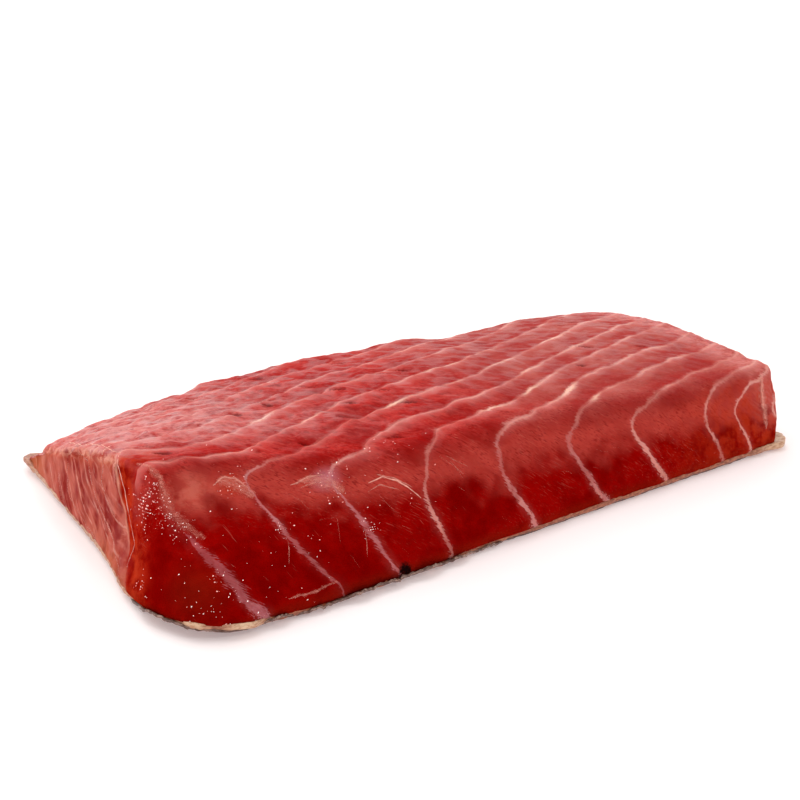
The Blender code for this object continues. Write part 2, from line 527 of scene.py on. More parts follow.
def rounding(distance, radius):
    """How far a rounded edge has dropped at this distance in from it."""
    t = np.clip(1.0 - distance / radius, 0.0, 1.0)
    return radius * (1.0 - np.sqrt(1.0 - t * t))


def top_height(u, v):
    """Height of the flesh's top: a gentle crown between the crest and the back rim."""
    x, y = plan_point(u, v, 1.0)
    front = side_y("front", u, x, 1.0)
    back = side_y("back", u, x, 1.0)
    share = np.clip((y - front) / (back - front), 0.0, 1.0)
    crown = CROWN * 4.0 * share * (1.0 - share) * ease_over(CROWN_SPAN, x)
    height = mix(crest_height(x), back_rim_height(x), share) + crown
    width = BACK_LEFT_Y - FRONT_LEFT_Y
    length = RIGHT_X - LEFT_FRONT_X
    height = height - rounding(v * width, SHOULDERS["front"])
    height = height - rounding((1.0 - v) * width, SHOULDERS["back"])
    height = height - rounding(u * length, SHOULDERS["left"])
    return height - rounding((1.0 - u) * length, SHOULDERS["right"])


print("crest, mm:", round(CREST_LEFT / MM, 1), "to", round(CREST_RIGHT / MM, 1))

# %% [markdown]
# The form is centred on nothing in particular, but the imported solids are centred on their
# footprint. So the form's own footprint is measured once, and everything moves by the
# difference.

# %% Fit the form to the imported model
def even_shares(count, crowding):
    """Shares from 0 to 1, closer together near both ends."""
    t = np.linspace(0.0, 1.0, count + 1)
    return mix(t, 0.5 - 0.5 * np.cos(pi * t), crowding)


def ring_shares(along, across):
    """The shares (u, v) once round the outline, from the front left corner."""
    front = [(u, 0.0) for u in along[:-1]]
    right = [(1.0, v) for v in across[:-1]]
    back = [(u, 1.0) for u in along[:0:-1]]
    left = [(0.0, v) for v in across[:0:-1]]
    return np.array(front + right + back + left).T


def flap_at(u):
    """How far fat and skin reach past the flesh."""
    return FLAP_LENGTH * ease_over((FLAP_START, 1.0), u)


def measure_shift():
    """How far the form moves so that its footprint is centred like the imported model's."""
    u, v = ring_shares(even_shares(300, 0.0), even_shares(200, 0.0))
    foot = plan_point(u, v, 0.0, flap_at(u))
    brow = plan_point(u, v, 1.0)
    middle = []
    for axis in (0, 1):
        both = np.concatenate([foot[axis], brow[axis]])
        middle.append(0.5 * (both.min() + both.max()))
    return np.array([*(0.5 * (cad_low + cad_high))[:2], 0.0]) - np.array([*middle, 0.0])


SHIFT = measure_shift()
print("the form moves by, mm:", (SHIFT / MM).round(2))

# %% [markdown]
# ## Chance that repeats
#
# Nothing on a piece of fish is even, so widths, heights and colours all wander a little.
# The wandering is smooth noise: random numbers on a lattice, blended in between. The
# numbers come from the lattice place itself, so the slab is the same every time.

# %% Smooth noise
def lattice(cell, seed):
    """A repeatable random number from 0 to 1 for each lattice place."""
    x, y, z = cell
    code = (x * 374761393 + y * 668265263 + z * 974634777 + seed * 1274126177) & 0xFFFFFFFF
    code = ((code ^ (code >> 13)) * 1103515245) & 0xFFFFFFFF
    code = ((code ^ (code >> 15)) * 668265263) & 0xFFFFFFFF
    return (code ^ (code >> 16)) / 0xFFFFFFFF


def noise(points, seed):
    """Smooth noise from -1 to 1 with a wavelength of about two units."""
    floor = np.floor(points).astype(np.int64)
    part = points - floor
    part = part * part * (3.0 - 2.0 * part)
    total = np.zeros(len(points))
    for corner in np.ndindex(2, 2, 2):
        weight = np.ones(len(points))
        for axis in range(3):
            weight *= part[:, axis] if corner[axis] else 1.0 - part[:, axis]
        total += weight * lattice((floor + np.array(corner)).T, seed)
    return 2.0 * total - 1.0


def rough(points, seed, octaves=3):
    """Noise with finer and weaker noise on it."""
    total = np.zeros(len(points))
    for octave in range(octaves):
        total += noise(points * 2.0**octave, seed + 31 * octave) * 0.5**octave
    return total


FIBRE_ALONG = Vector((0.75, -0.42, -0.52)).normalized()
FIBRE_SIDE = FIBRE_ALONG.cross(Vector((0.0, 0.0, 1.0))).normalized()
FIBRE_FRAME = Matrix((FIBRE_ALONG, FIBRE_SIDE, FIBRE_ALONG.cross(FIBRE_SIDE))).transposed()
FIBRE_TURN = tuple(FIBRE_FRAME.to_euler())
HANG_ALONG = Vector((0.50, 0.0, -0.87)).normalized()
HANG_SIDE = HANG_ALONG.cross(Vector((0.0, 1.0, 0.0)))
HANG_FRAME = Matrix((HANG_ALONG, HANG_SIDE, Vector((0.0, -1.0, 0.0)))).transposed()
HANG_TURN = tuple(HANG_FRAME.to_euler())


def fibre_noise(points, length, width, seed):
    """Noise drawn out along the muscle fibres."""
    turned = points @ np.array(FIBRE_FRAME)
    return noise(turned / np.array([length, width, width]), seed)


print("fibres run along", [round(part, 2) for part in FIBRE_ALONG])

# %% [markdown]
# ## Where the seams run
#
# Fish muscle is a stack of nested cones with a sheet of pale tissue between each two. Cut
# across, the sheets show as seams: each bends like an arrowhead on the front cut and runs
# on over the crest, slanting across the top. Drawing each seam as a curve would leave the
# bands between them bare, so one number is given to every place instead: the seam phase. It
# is 3 all along seam number 3, 4 along the next, and in between in the band.

# %% Places of the seams
FIRST_SEAM = -9
# For each seam, in mm: X and height of its bend on the front cut, how far it leans to the
# right for each mm below the bend and above it, and Y where it crosses the middle of the top.
SEAMS = np.array([
    (-496.0, 46.0, 0.50, 0.00, 151.0),
    (-458.0, 46.0, 0.50, 0.00, 134.0),
    (-420.0, 46.0, 0.50, 0.00, 117.0),
    (-382.0, 46.0, 0.50, 0.00, 100.0),
    (-344.0, 46.0, 0.50, 0.00, 83.0),
    (-306.0, 46.0, 0.50, 0.00, 66.0),
    (-268.0, 46.0, 0.50, 0.00, 49.0),
    (-230.0, 46.0, 0.50, 0.00, 31.0),
    (-192.0, 46.0, 0.50, 0.00, 14.0),
    (-154.0, 33.0, 0.55, 0.00, -3.0),
    (-120.5, 34.0, 0.78, -0.25, -20.0),
    (-88.5, 33.0, 0.62, -0.30, -36.0),
    (-55.0, 28.0, 0.34, 0.80, -48.0),
    (-11.5, 28.0, 0.36, 0.45, -62.0),
    (27.0, 27.0, 0.62, 0.45, -76.0),
    (65.0, 23.0, 0.85, 0.35, -92.0),
    (110.5, 20.0, 0.55, 0.45, -105.0),
    (129.5, 20.0, 0.55, 0.45, -116.0),
    (156.0, 20.0, 0.50, 0.45, -129.0),
    (190.0, 20.0, 0.50, 0.45, -143.0),
])
SEAM_NUMBERS = FIRST_SEAM + np.arange(len(SEAMS))
print("seams numbered", SEAM_NUMBERS[0], "to", SEAM_NUMBERS[-1])

# %% [markdown]
# On the front cut a place is slid along its seam's two leaning arms to the height of the
# bend, and the number is read off there. On the top it is slid across to the middle line
# instead. Near the crest the two answers are blended, so each seam runs on over the edge.

# %% The seam phase
BEND_SOFTNESS = 3.0
TOP_SLOPE = 0.32
TOP_BLEND = (-5.0, 11.0)
DEPTH_SLANT = 0.24
# Where the seams on the top swing forward or back of a straight line: X and the swing in mm.
TOP_SWING = np.array([
    (-153.0, 20.0),
    (-146.0, 11.0),
    (-134.0, 4.0),
    (-118.0, 0.0),
    (-90.0, 4.0),
    (-70.0, 5.0),
    (-44.0, 4.0),
    (-15.0, 0.0),
    (15.0, -3.0),
    (42.0, -1.0),
    (62.0, 3.0),
    (90.0, 1.0),
    (150.0, 0.0),
])
SAG = 9.0
SAG_X = -55.0
SAG_WIDTH = 26.0
SAG_REACH = (15.0, 4.0)
FAN = 0.2
FAN_SPAN = (60.0, 150.0)
FAN_REACH = (-18.0, 60.0)
FAN_CENTRE_Y = -5.0


def crest_y(x):
    """Y of the top's front edge, in mm."""
    form_x = x * MM - SHIFT[0]
    u = (form_x - LEFT_FRONT_X) / (RIGHT_X - LEFT_FRONT_X)
    return (side_y("front", u, form_x, 1.0) + SHIFT[1]) / MM


def wander(points):
    """Move places a little, so that nothing drawn by them is straight."""
    moved = points.copy()
    for axis in range(3):
        moved[:, axis] += 1.4 * noise(points / 36.0, 11 + axis)
        moved[:, axis] += 1.3 * noise(points / 11.0, 21 + axis)
        moved[:, axis] += 0.5 * noise(points / 4.0, 41 + axis)
    return moved


def seam_phase(points, rim):
    """The seam phase at places in mm; rim is the height of the slab's top there."""
    x, y, z = wander(points).T
    bend_x, bend_z, lower_lean, upper_lean, mid_y = SEAMS.T
    above = z - np.interp(x, bend_x, bend_z)
    soft = np.sqrt(above**2 + BEND_SOFTNESS**2)
    lower = 0.5 * (soft - above) * np.interp(x, bend_x, lower_lean)
    upper = 0.5 * (soft + above) * np.interp(x, bend_x, upper_lean)
    front = np.interp(x - lower - upper, bend_x, SEAM_NUMBERS)
    depth = np.maximum(rim - points[:, 2], 0.0)
    slanted = y + DEPTH_SLANT * depth * (1.0 + depth / 40.0)
    swing = np.interp(x, *TOP_SWING.T)
    fan = FAN * np.clip(y - FAN_CENTRE_Y, *FAN_REACH) * ease_over(FAN_SPAN, x)
    behind = y - crest_y(x)
    sag = SAG * hill(x - SAG_X, SAG_WIDTH) * ease_over(SAG_REACH, behind)
    top = np.interp(TOP_SLOPE * x + swing + fan - sag - slanted, -mid_y, SEAM_NUMBERS)
    return mix(front, top, ease_over(TOP_BLEND, behind))


middle_line = np.array([[0.0, 0.0, 45.0], [60.0, 0.0, 45.0]])
print("phase on the top, at 0 and 60 mm:", seam_phase(middle_line, 45.0).round(1))

# %% [markdown]
# The short ends have a phase of their own, for nested arcs. To draw a line of an even width
# by any phase, the shader must also know how many mm lie between two whole numbers there.
# That is the gauge, measured by a small step each way along the surface.

# %% Arcs of the ends, and the gauge
END_CENTRE = (-26.0, 56.0)
END_SPACING = 11.0
GAUGE_STEP = 0.6
GAUGE_LIMITS = (4.0, 60.0)


def end_phase(points, _):
    """The phase on the two short ends, where the cones are cut into nested arcs."""
    _, y, z = wander(points).T
    return np.hypot(y - END_CENTRE[0], z - END_CENTRE[1]) / END_SPACING


def gauge_of(phase, points, rim, normals):
    """How many mm of surface lie between a whole number of the phase and the next."""
    any_way = np.array([0.31, 0.17, 0.93])
    aside = np.cross(normals, any_way)
    aside /= np.linalg.norm(aside, axis=1)[:, None]
    forth = np.cross(normals, aside)
    here = phase(points, rim)
    there = [phase(points + GAUGE_STEP * way, rim) for way in (aside, forth)]
    slopes = [(value - here) / GAUGE_STEP for value in there]
    return np.clip(1.0 / np.maximum(np.hypot(*slopes), 1e-4), *GAUGE_LIMITS)


print("arcs of the ends are", END_SPACING, "mm apart")

# %% [markdown]
# ## A fine mesh for the flesh
#
# The flesh is one closed skin of quads, about a millimetre wide: a grid over the top, a band
# of rings down the sides that shares the grid's border, and a flat underside. A remesh of
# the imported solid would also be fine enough, but it blurs the crest, and a grid keeps every
# point's shares, which say how near it is to an edge.

# %% Mesh helpers
def build_mesh(name, points, faces, fields=None):
    """A mesh object from places in mm, with numbers stored on its corners."""
    mesh = bpy.data.meshes.new(name)
    mesh.from_pydata((points * MM).tolist(), [], faces)
    for field, values in (fields or {}).items():
        layer = mesh.attributes.new(field, "FLOAT", "POINT")
        layer.data.foreach_set("value", np.asarray(values, dtype=np.float32))
    mesh.shade_smooth()
    piece = bpy.data.objects.new(name, mesh)
    bpy.context.scene.collection.objects.link(piece)
    return piece


def normals_of(points, faces):
    """The outward direction at every point of a mesh."""
    mesh = bpy.data.meshes.new("measure")
    mesh.from_pydata(points.tolist(), [], faces)
    normals = np.zeros(3 * len(points), dtype=np.float32)
    mesh.vertex_normals.foreach_get("vector", normals)
    bpy.data.meshes.remove(mesh)
    return normals.reshape(-1, 3).astype(float)


def quads_between(lower, upper):
    """Quads that join two closed rings of points, seen from outside as going round."""
    lower_next = np.roll(lower, -1)
    upper_next = np.roll(upper, -1)
    return np.stack([lower, lower_next, upper_next, upper], axis=1).tolist()


print("two rings of 4 points are joined by", len(quads_between(range(4), range(4, 8))), "quads")

# %% [markdown]
# The grid's rows stand closer together near its edges, where the form turns. Each point
# keeps its shares, and the height of the top straight above it, called its rim.

# %% Grid of the flesh
FLESH_LONG = 316
FLESH_WIDE = 150
FLESH_LEVELS = 44


def flesh_grid():
    """Places, faces and shares of the flesh before any relief."""
    along = even_shares(FLESH_LONG, 0.12)
    across = even_shares(FLESH_WIDE, 0.35)
    u, v = [grid.ravel() for grid in np.meshgrid(along, across, indexing="ij")]
    number = np.arange(len(u)).reshape(len(along), len(across))
    cells = [number[:-1, :-1], number[1:, :-1], number[1:, 1:], number[:-1, 1:]]
    faces = np.stack([cell.ravel() for cell in cells], axis=1).tolist()
    border = np.concatenate([number[:-1, 0], number[-1, :-1], number[:0:-1, -1], number[0, :0:-1]])
    ring_u, ring_v = ring_shares(along, across)
    all_u, all_v, all_w = [u], [v], [np.ones(len(u))]
    upper = border
    for level in range(1, FLESH_LEVELS + 1):
        lower = len(u) + (level - 1) * len(border) + np.arange(len(border))
        faces += quads_between(lower, upper)
        all_u.append(ring_u)
        all_v.append(ring_v)
        all_w.append(np.full(len(border), 1.0 - level / FLESH_LEVELS))
        upper = lower
    faces.append(upper[::-1].tolist())
    u, v, w = [np.concatenate(parts) for parts in (all_u, all_v, all_w)]
    foot_x, foot_y = plan_point(u, v, 0.0)
    foot = SKIN_THICKNESS + FAT_THICKNESS + base_lift(foot_x, foot_y)
    x, y = plan_point(u, v, w)
    rim = top_height(u, v)
    points = (np.stack([x, y, mix(foot, rim, w)], axis=1) + SHIFT) / MM
    return points, faces, u, v, w, rim / MM


flesh_points, flesh_faces, flesh_u, flesh_v, flesh_w, flesh_rim = flesh_grid()
print("flesh grid:", len(flesh_points), "points,", len(flesh_faces), "faces")

# %% [markdown]
# The front cut and the top meet in a soft brow, not in an edge. The front left corner turns
# without a fold, and so does the slab's back. All of this is hard to write as a formula, but
# easy to get by relaxing the mesh there: each point moves towards the middle of its
# neighbours, many times over.

# %% Relax the brow, the left corner and the back fold
RELAX_ROUNDS = 130
BROW_WIDTH = 24.0
FOLD_REACH = 6.0
FOLD_SHARE = 0.5
RIGHT_END_SPAN = (163.0, 157.0)


def arris_y(z):
    """Y of the sharp edge between the left end and the rounded corner, in mm."""
    return mix(-47.0, -17.0, z / 47.0)


def relax(points, faces, share, rounds):
    """Move points towards the middle of their neighbours, by a share of the way."""
    quads = np.array([face for face in faces if len(face) == 4])
    pairs = np.concatenate([quads[:, [side, (side + 1) % 4]] for side in range(4)])
    here, there = np.concatenate([pairs, pairs[:, ::-1]]).T
    count = np.bincount(here, minlength=len(points))
    for _ in range(rounds):
        for axis in range(3):
            total = np.bincount(here, weights=points[there, axis], minlength=len(points))
            points[:, axis] += 0.5 * share * (total / count - points[:, axis])
    return points


def relax_share():
    """Where the mesh is relaxed: along the brow, round the left corner, along the back."""
    x, y, z = flesh_points.T
    width = (BACK_LEFT_Y - FRONT_LEFT_Y) / MM
    on_top = ease(1.5 - 1.5 * flesh_v * width / BROW_WIDTH)
    on_side = ease_over((0.10, 0.60), flesh_w) * (flesh_v < 0.5)
    share = np.where(flesh_w < 1.0, on_side, on_top)
    on_left = (x < -140.0) & (flesh_v > 0.0) & (flesh_w < 1.0)
    share = np.where(on_left, share * ease_over((0.0, -5.0), y - arris_y(z)), share)
    from_fold = np.where(flesh_w < 1.0, (1.0 - flesh_w) * flesh_rim, (1.0 - flesh_v) * width)
    on_fold = ease(1.0 - from_fold / FOLD_REACH) * ease_over((0.90, 0.97), flesh_v)
    return np.maximum(share, FOLD_SHARE * on_fold) * ease_over(RIGHT_END_SPAN, x)


flesh_points = relax(flesh_points, flesh_faces, relax_share(), RELAX_ROUNDS)
print("relaxed in", RELAX_ROUNDS, "rounds")

# %% [markdown]
# Cut fish is soft and sags under its own weight. Its foot spreads, most at the left where
# the slab is tallest, and the thin right end sinks. The move is a function of the place
# alone, so fat and skin can follow the flesh by the same one.

# %% Let the slab settle
FOOT_SPAN = (22.0, 0.0)
LEFT_SPREAD = 4.0
CORNER_SPREAD = 2.6
FRONT_SPREAD = 2.0
END_SINK = 3.2


def settle(points):
    """Let the foot spread at the left and the front, and the right end sink, in mm."""
    x, y, z = points.T.copy()
    low = ease_over(FOOT_SPAN, z)
    spread = LEFT_SPREAD * hill(y + 48.0, 25.0) * low
    points[:, 0] -= spread * ease_over((-148.0, -160.0), x)
    corner = CORNER_SPREAD * hill(x + 150.0, 16.0) * hill(y + 84.0, 14.0) * low
    points[:, 0] -= 0.5 * corner
    points[:, 1] -= 0.9 * corner
    along = ease_over((-138.0, -112.0), x) * ease_over((-20.0, -60.0), x)
    front = ease_over((14.0, 0.0), z) * ease_over((-68.0, -80.0), y)
    points[:, 1] -= FRONT_SPREAD * along * front
    far_end = ease_over((112.0, 158.0), x) * ease_over((-72.0, -25.0), y)
    points[:, 2] -= END_SINK * far_end * ease_over((8.0, 30.0), z)
    return points


flesh_points = settle(flesh_points)
flesh_normals = normals_of(flesh_points, flesh_faces)
print("the settled slab, mm:", np.ptp(flesh_points, axis=0).round(1))

# %% [markdown]
# ## Zones of the flesh
#
# The same muscle looks different on each side of the slab: the top is dull and fibrous, the
# front cut glassy and dark, the left end dry and streaky. Each zone is a soft mask worked
# out from which way the surface faces and where it lies. Relief and colour both use them.

# %% Zone masks
ARRIS_JAG = 1.2
ARRIS_FADE = 13.0


def patch(points, centre, size, softness=1.0):
    """A soft blob at a place: 1 in its middle, 0 outside."""
    reach = np.linalg.norm((points - np.array(centre)) / np.array(size), axis=1)
    return ease((1.0 - reach) / softness)


def flesh_zones(points, normals):
    """The masks that relief and colour share, and how far a place is behind the crest."""
    x, y, z = points.T
    behind = y - crest_y(x)
    top = ease_over((-2.0, 9.0), behind) * ease_over((0.15, 0.50), normals[:, 2])
    side = 1.0 - top
    past_arris = y - arris_y(z) + ARRIS_JAG * noise(points / 5.0, 71) + ARRIS_JAG
    softness = mix(2.0 * ARRIS_JAG, ARRIS_FADE, ease_over((24.0, 44.0), z))
    left_end = side * ease_over((0.35, 0.6), -normals[:, 0]) * ease(past_arris / softness)
    right_end = side * ease_over((0.45, 0.75), normals[:, 0])
    end = np.maximum(left_end, right_end)
    front = side * (1.0 - end) * ease_over((0.0, 0.3), -normals[:, 1])
    masks = {"top": top, "left_end": left_end, "end": end, "front": front}
    return {**masks, "behind_crest": behind}


zones = flesh_zones(flesh_points, flesh_normals)
phase = seam_phase(flesh_points, flesh_rim)
gauge = gauge_of(seam_phase, flesh_points, flesh_rim, flesh_normals)
arcs = end_phase(flesh_points, flesh_rim)
arcs_gauge = gauge_of(end_phase, flesh_points, flesh_rim, flesh_normals)
print("gauge of the bands, mm:", gauge.min().round(1), "to", gauge.max().round(1))

# %% [markdown]
# ## Relief of the flesh
#
# The bands of muscle bulge between their seams, and on the top they lie on each other like
# roof tiles, each one's far edge a little proud of the next. Fibres leave fine grooves. All
# of it is a height along the surface's own direction, added to the mesh, so that outlines
# and shadows show it and not only highlights.

# %% Width of the seams
SEAM_WIDTHS = np.array(8 * [1.0] + [1.2, 4.6, 2.8, 3.2, 2.2, 3.0, 3.0, 2.8, 2.2, 1.8, 2.6, 1.0])
TOP_SEAM_WIDTH = 2.0


def seam_width():
    """Full width of the nearest seam, in mm: slim above its bend, swollen below it."""
    x, y, z = flesh_points.T
    low = z / np.interp(x, SEAMS[:, 0], SEAMS[:, 1])
    slimmest = mix(0.35, 0.85, ease_over((-80.0, -55.0), x))
    slender = ease_over((-138.0, -118.0), x) * ease_over((-50.0, -62.0), x)
    swollen = ease_over((1.0, 0.62), low) * ease(low / mix(0.25, 0.80, slender))
    on_front = np.interp(phase, SEAM_NUMBERS, SEAM_WIDTHS) * mix(slimmest, 1.0, swollen)
    corner = ease_over((-145.0, -149.0), x) * ease_over((-58.0, -52.0), y)
    on_front = on_front * (1.0 - corner)
    width = mix(on_front, TOP_SEAM_WIDTH, ease_over((-2.0, 10.0), zones["behind_crest"]))
    wall = ease_over((-149.0, -153.0), x) * ease_over((-18.0, -26.0), y)
    return width * (1.0 - wall) * (1.0 + 0.35 * rough(flesh_points / 6.0, 81))


widths = seam_width()
print("seams are up to", widths.max().round(1), "mm wide")


# %% Seams, bands and fibres as heights
def seam_relief():
    """Ridges on the seams, bulging bands, and on the top a tile step at each seam."""
    part = phase - np.round(phase)
    distance = part * gauge
    ridge = 0.26 * hill(distance, 1.0) * (1.0 + noise(flesh_points / 7.0, 91))
    bulge = 1.0 - (2.0 * part) ** 2
    step = 0.5 * np.tanh(distance / 1.0) - part
    patchy = 1.0 + 0.7 * noise(flesh_points / 16.0, 95)
    tile = mix(0.85, 0.30, ease_over((-20.0, 110.0), flesh_points[:, 0]))
    on_top = 0.6 * ridge + 0.30 * bulge + tile * step * patchy
    on_front = ridge + 0.50 * bulge - 0.35 * step * patchy
    return mix(on_front, on_top, zones["top"]) * (1.0 - zones["end"])


def end_relief():
    """Coarse and fine ribs on the short ends, along the nested arcs."""
    x, y, z = wander(flesh_points).T
    angle = np.arctan2(z - END_CENTRE[1], y - END_CENTRE[0])
    coarse = np.stack([arcs * END_SPACING / 2.6, angle * 4.0, 0.0 * x], axis=1)
    fine = np.stack([arcs * END_SPACING / 1.3, angle * 7.0, 0.0 * x], axis=1)
    return zones["end"] * (0.42 * noise(coarse, 101) + 0.18 * noise(fine, 102))


def muscle_relief():
    """Swells of the whole slab, torn flesh at the left, and grooves along the fibres."""
    torn = zones["top"] * ease_over((60.0, -60.0), flesh_points[:, 0])
    swell = 0.75 * rough(flesh_points / 34.0, 111, 2)
    swell += mix(0.25, 0.85, torn) * rough(flesh_points / 9.0, 112, 2)
    swell += 0.55 * torn * fibre_noise(flesh_points, 11.0, 3.4, 113)
    swell += 0.20 * torn * rough(flesh_points / 3.2, 114, 2)
    strands = 0.20 * fibre_noise(flesh_points, 16.0, 2.6, 121)
    strands += 0.13 * fibre_noise(flesh_points, 9.0, 1.4, 122)
    dip = hill(zones["behind_crest"] - 17.0, 6.5) * zones["top"]
    return swell + strands * (1.0 - 0.6 * zones["end"]) - 0.9 * dip


print("points on the top:", int((zones["top"] > 0.5).sum()))

# %% [markdown]
# Where the knife pulled, the fibres of the top part in small slits, and the edge of the
# left end is torn. Both are cut into the same height field, so that no faces cross.

# %% Slits and the ragged left rim
SLIT_COUNT = 34
SLIT_LENGTH = (3.0, 7.0)
SLIT_WIDTH = (0.7, 1.3)
SLIT_DEPTH = 1.3
RIM_RAGS = 1.3
FOOT_RELIEF = 0.25
FOOT_RELIEF_REACH = 0.08


def cut_slits():
    """Small gaping slits between fibres, mostly on the left of the top."""
    chance = np.random.default_rng(5)
    x, y = flesh_points[:, :2].T
    depth = np.zeros(len(x))
    for number in range(SLIT_COUNT):
        middle_x = chance.uniform(-150.0, -10.0) if number % 4 else chance.uniform(-10.0, 140.0)
        middle_y = crest_y(middle_x) + chance.uniform(14.0, 118.0)
        turn = radians(chance.uniform(-44.0, -24.0))
        length = chance.uniform(*SLIT_LENGTH)
        width = chance.uniform(*SLIT_WIDTH)
        along = (x - middle_x) * cos(turn) + (y - middle_y) * sin(turn)
        aside = (y - middle_y) * cos(turn) - (x - middle_x) * sin(turn)
        inside = 1.0 - (along / length) ** 2 - (aside / width) ** 2
        depth = np.maximum(depth, np.clip(inside, 0.0, 1.0))
    return depth * zones["top"]


def left_rim():
    """How near a point is to the torn edge of the left end: a fine line and a wide band."""
    length = (RIGHT_X - LEFT_FRONT_X) / MM
    from_edge = np.where(flesh_w < 1.0, (1.0 - flesh_w) * flesh_rim, flesh_u * length)
    near_left = ease_over((-148.0, -153.0), flesh_points[:, 0])
    behind_arris = ease_over((-26.0, -14.0), flesh_points[:, 1])
    here = near_left * behind_arris
    return hill(from_edge, 1.3) * here, hill(from_edge, 3.2) * here


slits = cut_slits()
rim_edge, rim_glow = left_rim()
height = seam_relief() + end_relief() + muscle_relief() - SLIT_DEPTH * slits
height += rim_edge * RIM_RAGS * rough(flesh_points / 3.4, 131, 2)
height *= mix(FOOT_RELIEF, 1.0, ease(flesh_w / FOOT_RELIEF_REACH))
flesh_shaped = flesh_points + flesh_normals * height[:, None]
print("relief, mm:", height.min().round(2), "to", height.max().round(2))

# %% [markdown]
# ## Colour zones of the flesh
#
# The shader draws the fine things, such as thin seams and fibres. What depends on the place,
# such as the orange tint at the left corner or the mauve of the thick seams, is stored on
# the mesh as numbers, and the shader only reads them.

# %% Fields of the seams
MAUVE_SEAMS = (-1.0, 0.0, 1.0, 2.0, 3.0, 4.0, 5.0, 6.0)
MAUVE = (0.3, 0.9, 0.75, 0.8, 0.3, 0.5, 0.5, 0.2)
# Where a seam on the top is painted with shine, standing in for the light its step catches: a place in
# mm, how far that reaches, how strong.
PAINTED_SHINE_PLACES = (
    (-92.0, -9.0, 45.0, 11.0, 1.0),
    (-74.0, -21.0, 46.0, 11.0, 0.8),
    (-35.0, -26.0, 46.0, 13.0, 1.0),
    (3.0, -20.0, 46.0, 10.0, 0.5),
    (38.0, -10.0, 44.0, 24.0, 0.5),
    (8.0, -3.0, 47.0, 18.0, 0.5),
    (31.0, -40.0, 43.0, 14.0, 0.9),
    (48.0, -46.0, 42.0, 12.0, 0.9),
    (56.0, -60.0, 41.0, 9.0, 1.0),
    (2.0, -46.0, 44.0, 11.0, 0.7),
    (90.0, 8.0, 42.0, 22.0, 0.4),
)


def seam_fields():
    """The sizes that the seams are drawn with, where they are mauve, and where painted shine lies on
    them.
    """
    shine = np.zeros(len(flesh_points))
    for *place, reach, strength in PAINTED_SHINE_PLACES:
        here = strength * patch(flesh_points, place, (reach, reach, reach))
        shine = np.maximum(shine, here)
    return {
        "phase": phase,
        "gauge": gauge,
        "seam_width": widths,
        "mauve": np.interp(phase, MAUVE_SEAMS, MAUVE) * (1.0 - zones["top"]),
        "shine": shine,
    }


fields = seam_fields()
print("bright places on the seams:", len(PAINTED_SHINE_PLACES))

# %% [markdown]
# The front cut is glassy and dark low down. Towards the brow it grows duller and paler, with
# an uneven border. It turns orange at the left corner and at the right, where light leaks
# through thin flesh, and brown at the foot, where fat lies close behind.

# %% Fields of the front cut
def front_fields():
    """Tints of the front cut, from 0 to 1."""
    x, y, z = flesh_points.T
    level = z / flesh_rim + 0.13 * rough(flesh_points / 9.0, 141)
    level += 0.08 * fibre_noise(flesh_points, 20.0, 4.0, 142)
    upper_start = mix(0.74, 0.60, ease_over((-110.0, 0.0), x))
    upper = ease_over((0.0, 1.0), (level - upper_start) / (1.02 - upper_start))
    upper = upper * zones["front"] * (1.0 - 0.8 * ease_over((-142.0, -150.0), x))
    strip = hill(y - arris_y(z) + 8.0, 10.0) * ease_over((-140.0, -150.0), x)
    flap = patch(flesh_points, (-126.0, -50.0, 39.0), (9.0, 7.0, 7.0))
    right = ease_over((70.0, 150.0), x) * zones["front"]
    corner = patch(flesh_points, (-156.0, -78.0, 16.0), (17.0, 18.0, 15.0))
    foot = ease_over((9.0, 4.5), z) * (1.0 - zones["top"])
    tip = patch(flesh_points, (-154.0, 78.0, 8.0), (14.0, 24.0, 16.0))
    return {
        "upper": upper,
        "brow": hill(zones["behind_crest"] - 2.0, 18.0) * (1.0 - zones["end"]),
        "sheet": patch(flesh_points, (-142.0, -48.0, 40.0), (14.0, 13.0, 11.0)),
        "orange": np.clip(0.85 * strip + 0.9 * flap + 0.70 * right, 0.0, 1.0),
        "brown": np.clip(0.7 * corner + 0.6 * foot + tip, 0.0, 1.0),
        "bruise": patch(flesh_points, (-90.0, -60.0, 37.0), (9.0, 6.0, 7.0)),
        # A near-black spot at the foot of the front cut.
        "foot_dark_spot": patch(flesh_points, (-71.0, -89.0, 5.5), (6.5, 5.0, 6.5)),
    }


fields.update(front_fields())
print("orange points:", int((fields["orange"] > 0.5).sum()))

# %% [markdown]
# The short ends are marked by their arcs. The left one also has a pale lip down its front
# corner, a torn rim with a glow behind it, and a tan foot and tip.

# %% Fields of the ends
def end_fields():
    """Arcs, torn edges and tan parts of the two short ends."""
    x, y, z = flesh_points.T
    from_arris = y - arris_y(z) + ARRIS_JAG * noise(flesh_points / 5.0, 71)
    lip_width = mix(0.7, 1.5, ease_over((30.0, 46.0), z))
    on_arris = ease_over((-146.0, -152.0), x) * ease_over((12.0, 20.0), z)
    near_foot = ease_over((15.0, 3.0), z) * ease_over((18.0, -30.0), y)
    near_tip = ease_over((48.0, 84.0), y)
    return {
        "end": zones["end"],
        "arcs": arcs,
        "arcs_gauge": arcs_gauge,
        "arcs_along": np.arctan2(z - END_CENTRE[1], y - END_CENTRE[0]) * 5.0,
        "lip": hill(from_arris, lip_width) * on_arris * (1.0 - zones["top"]),
        "rim": rim_edge,
        "rim_glow": rim_glow,
        "tan": zones["left_end"] * np.maximum(0.8 * near_foot, near_tip),
    }


fields.update(end_fields())
print("points on the torn rim:", int((fields["rim"] > 0.5).sum()))
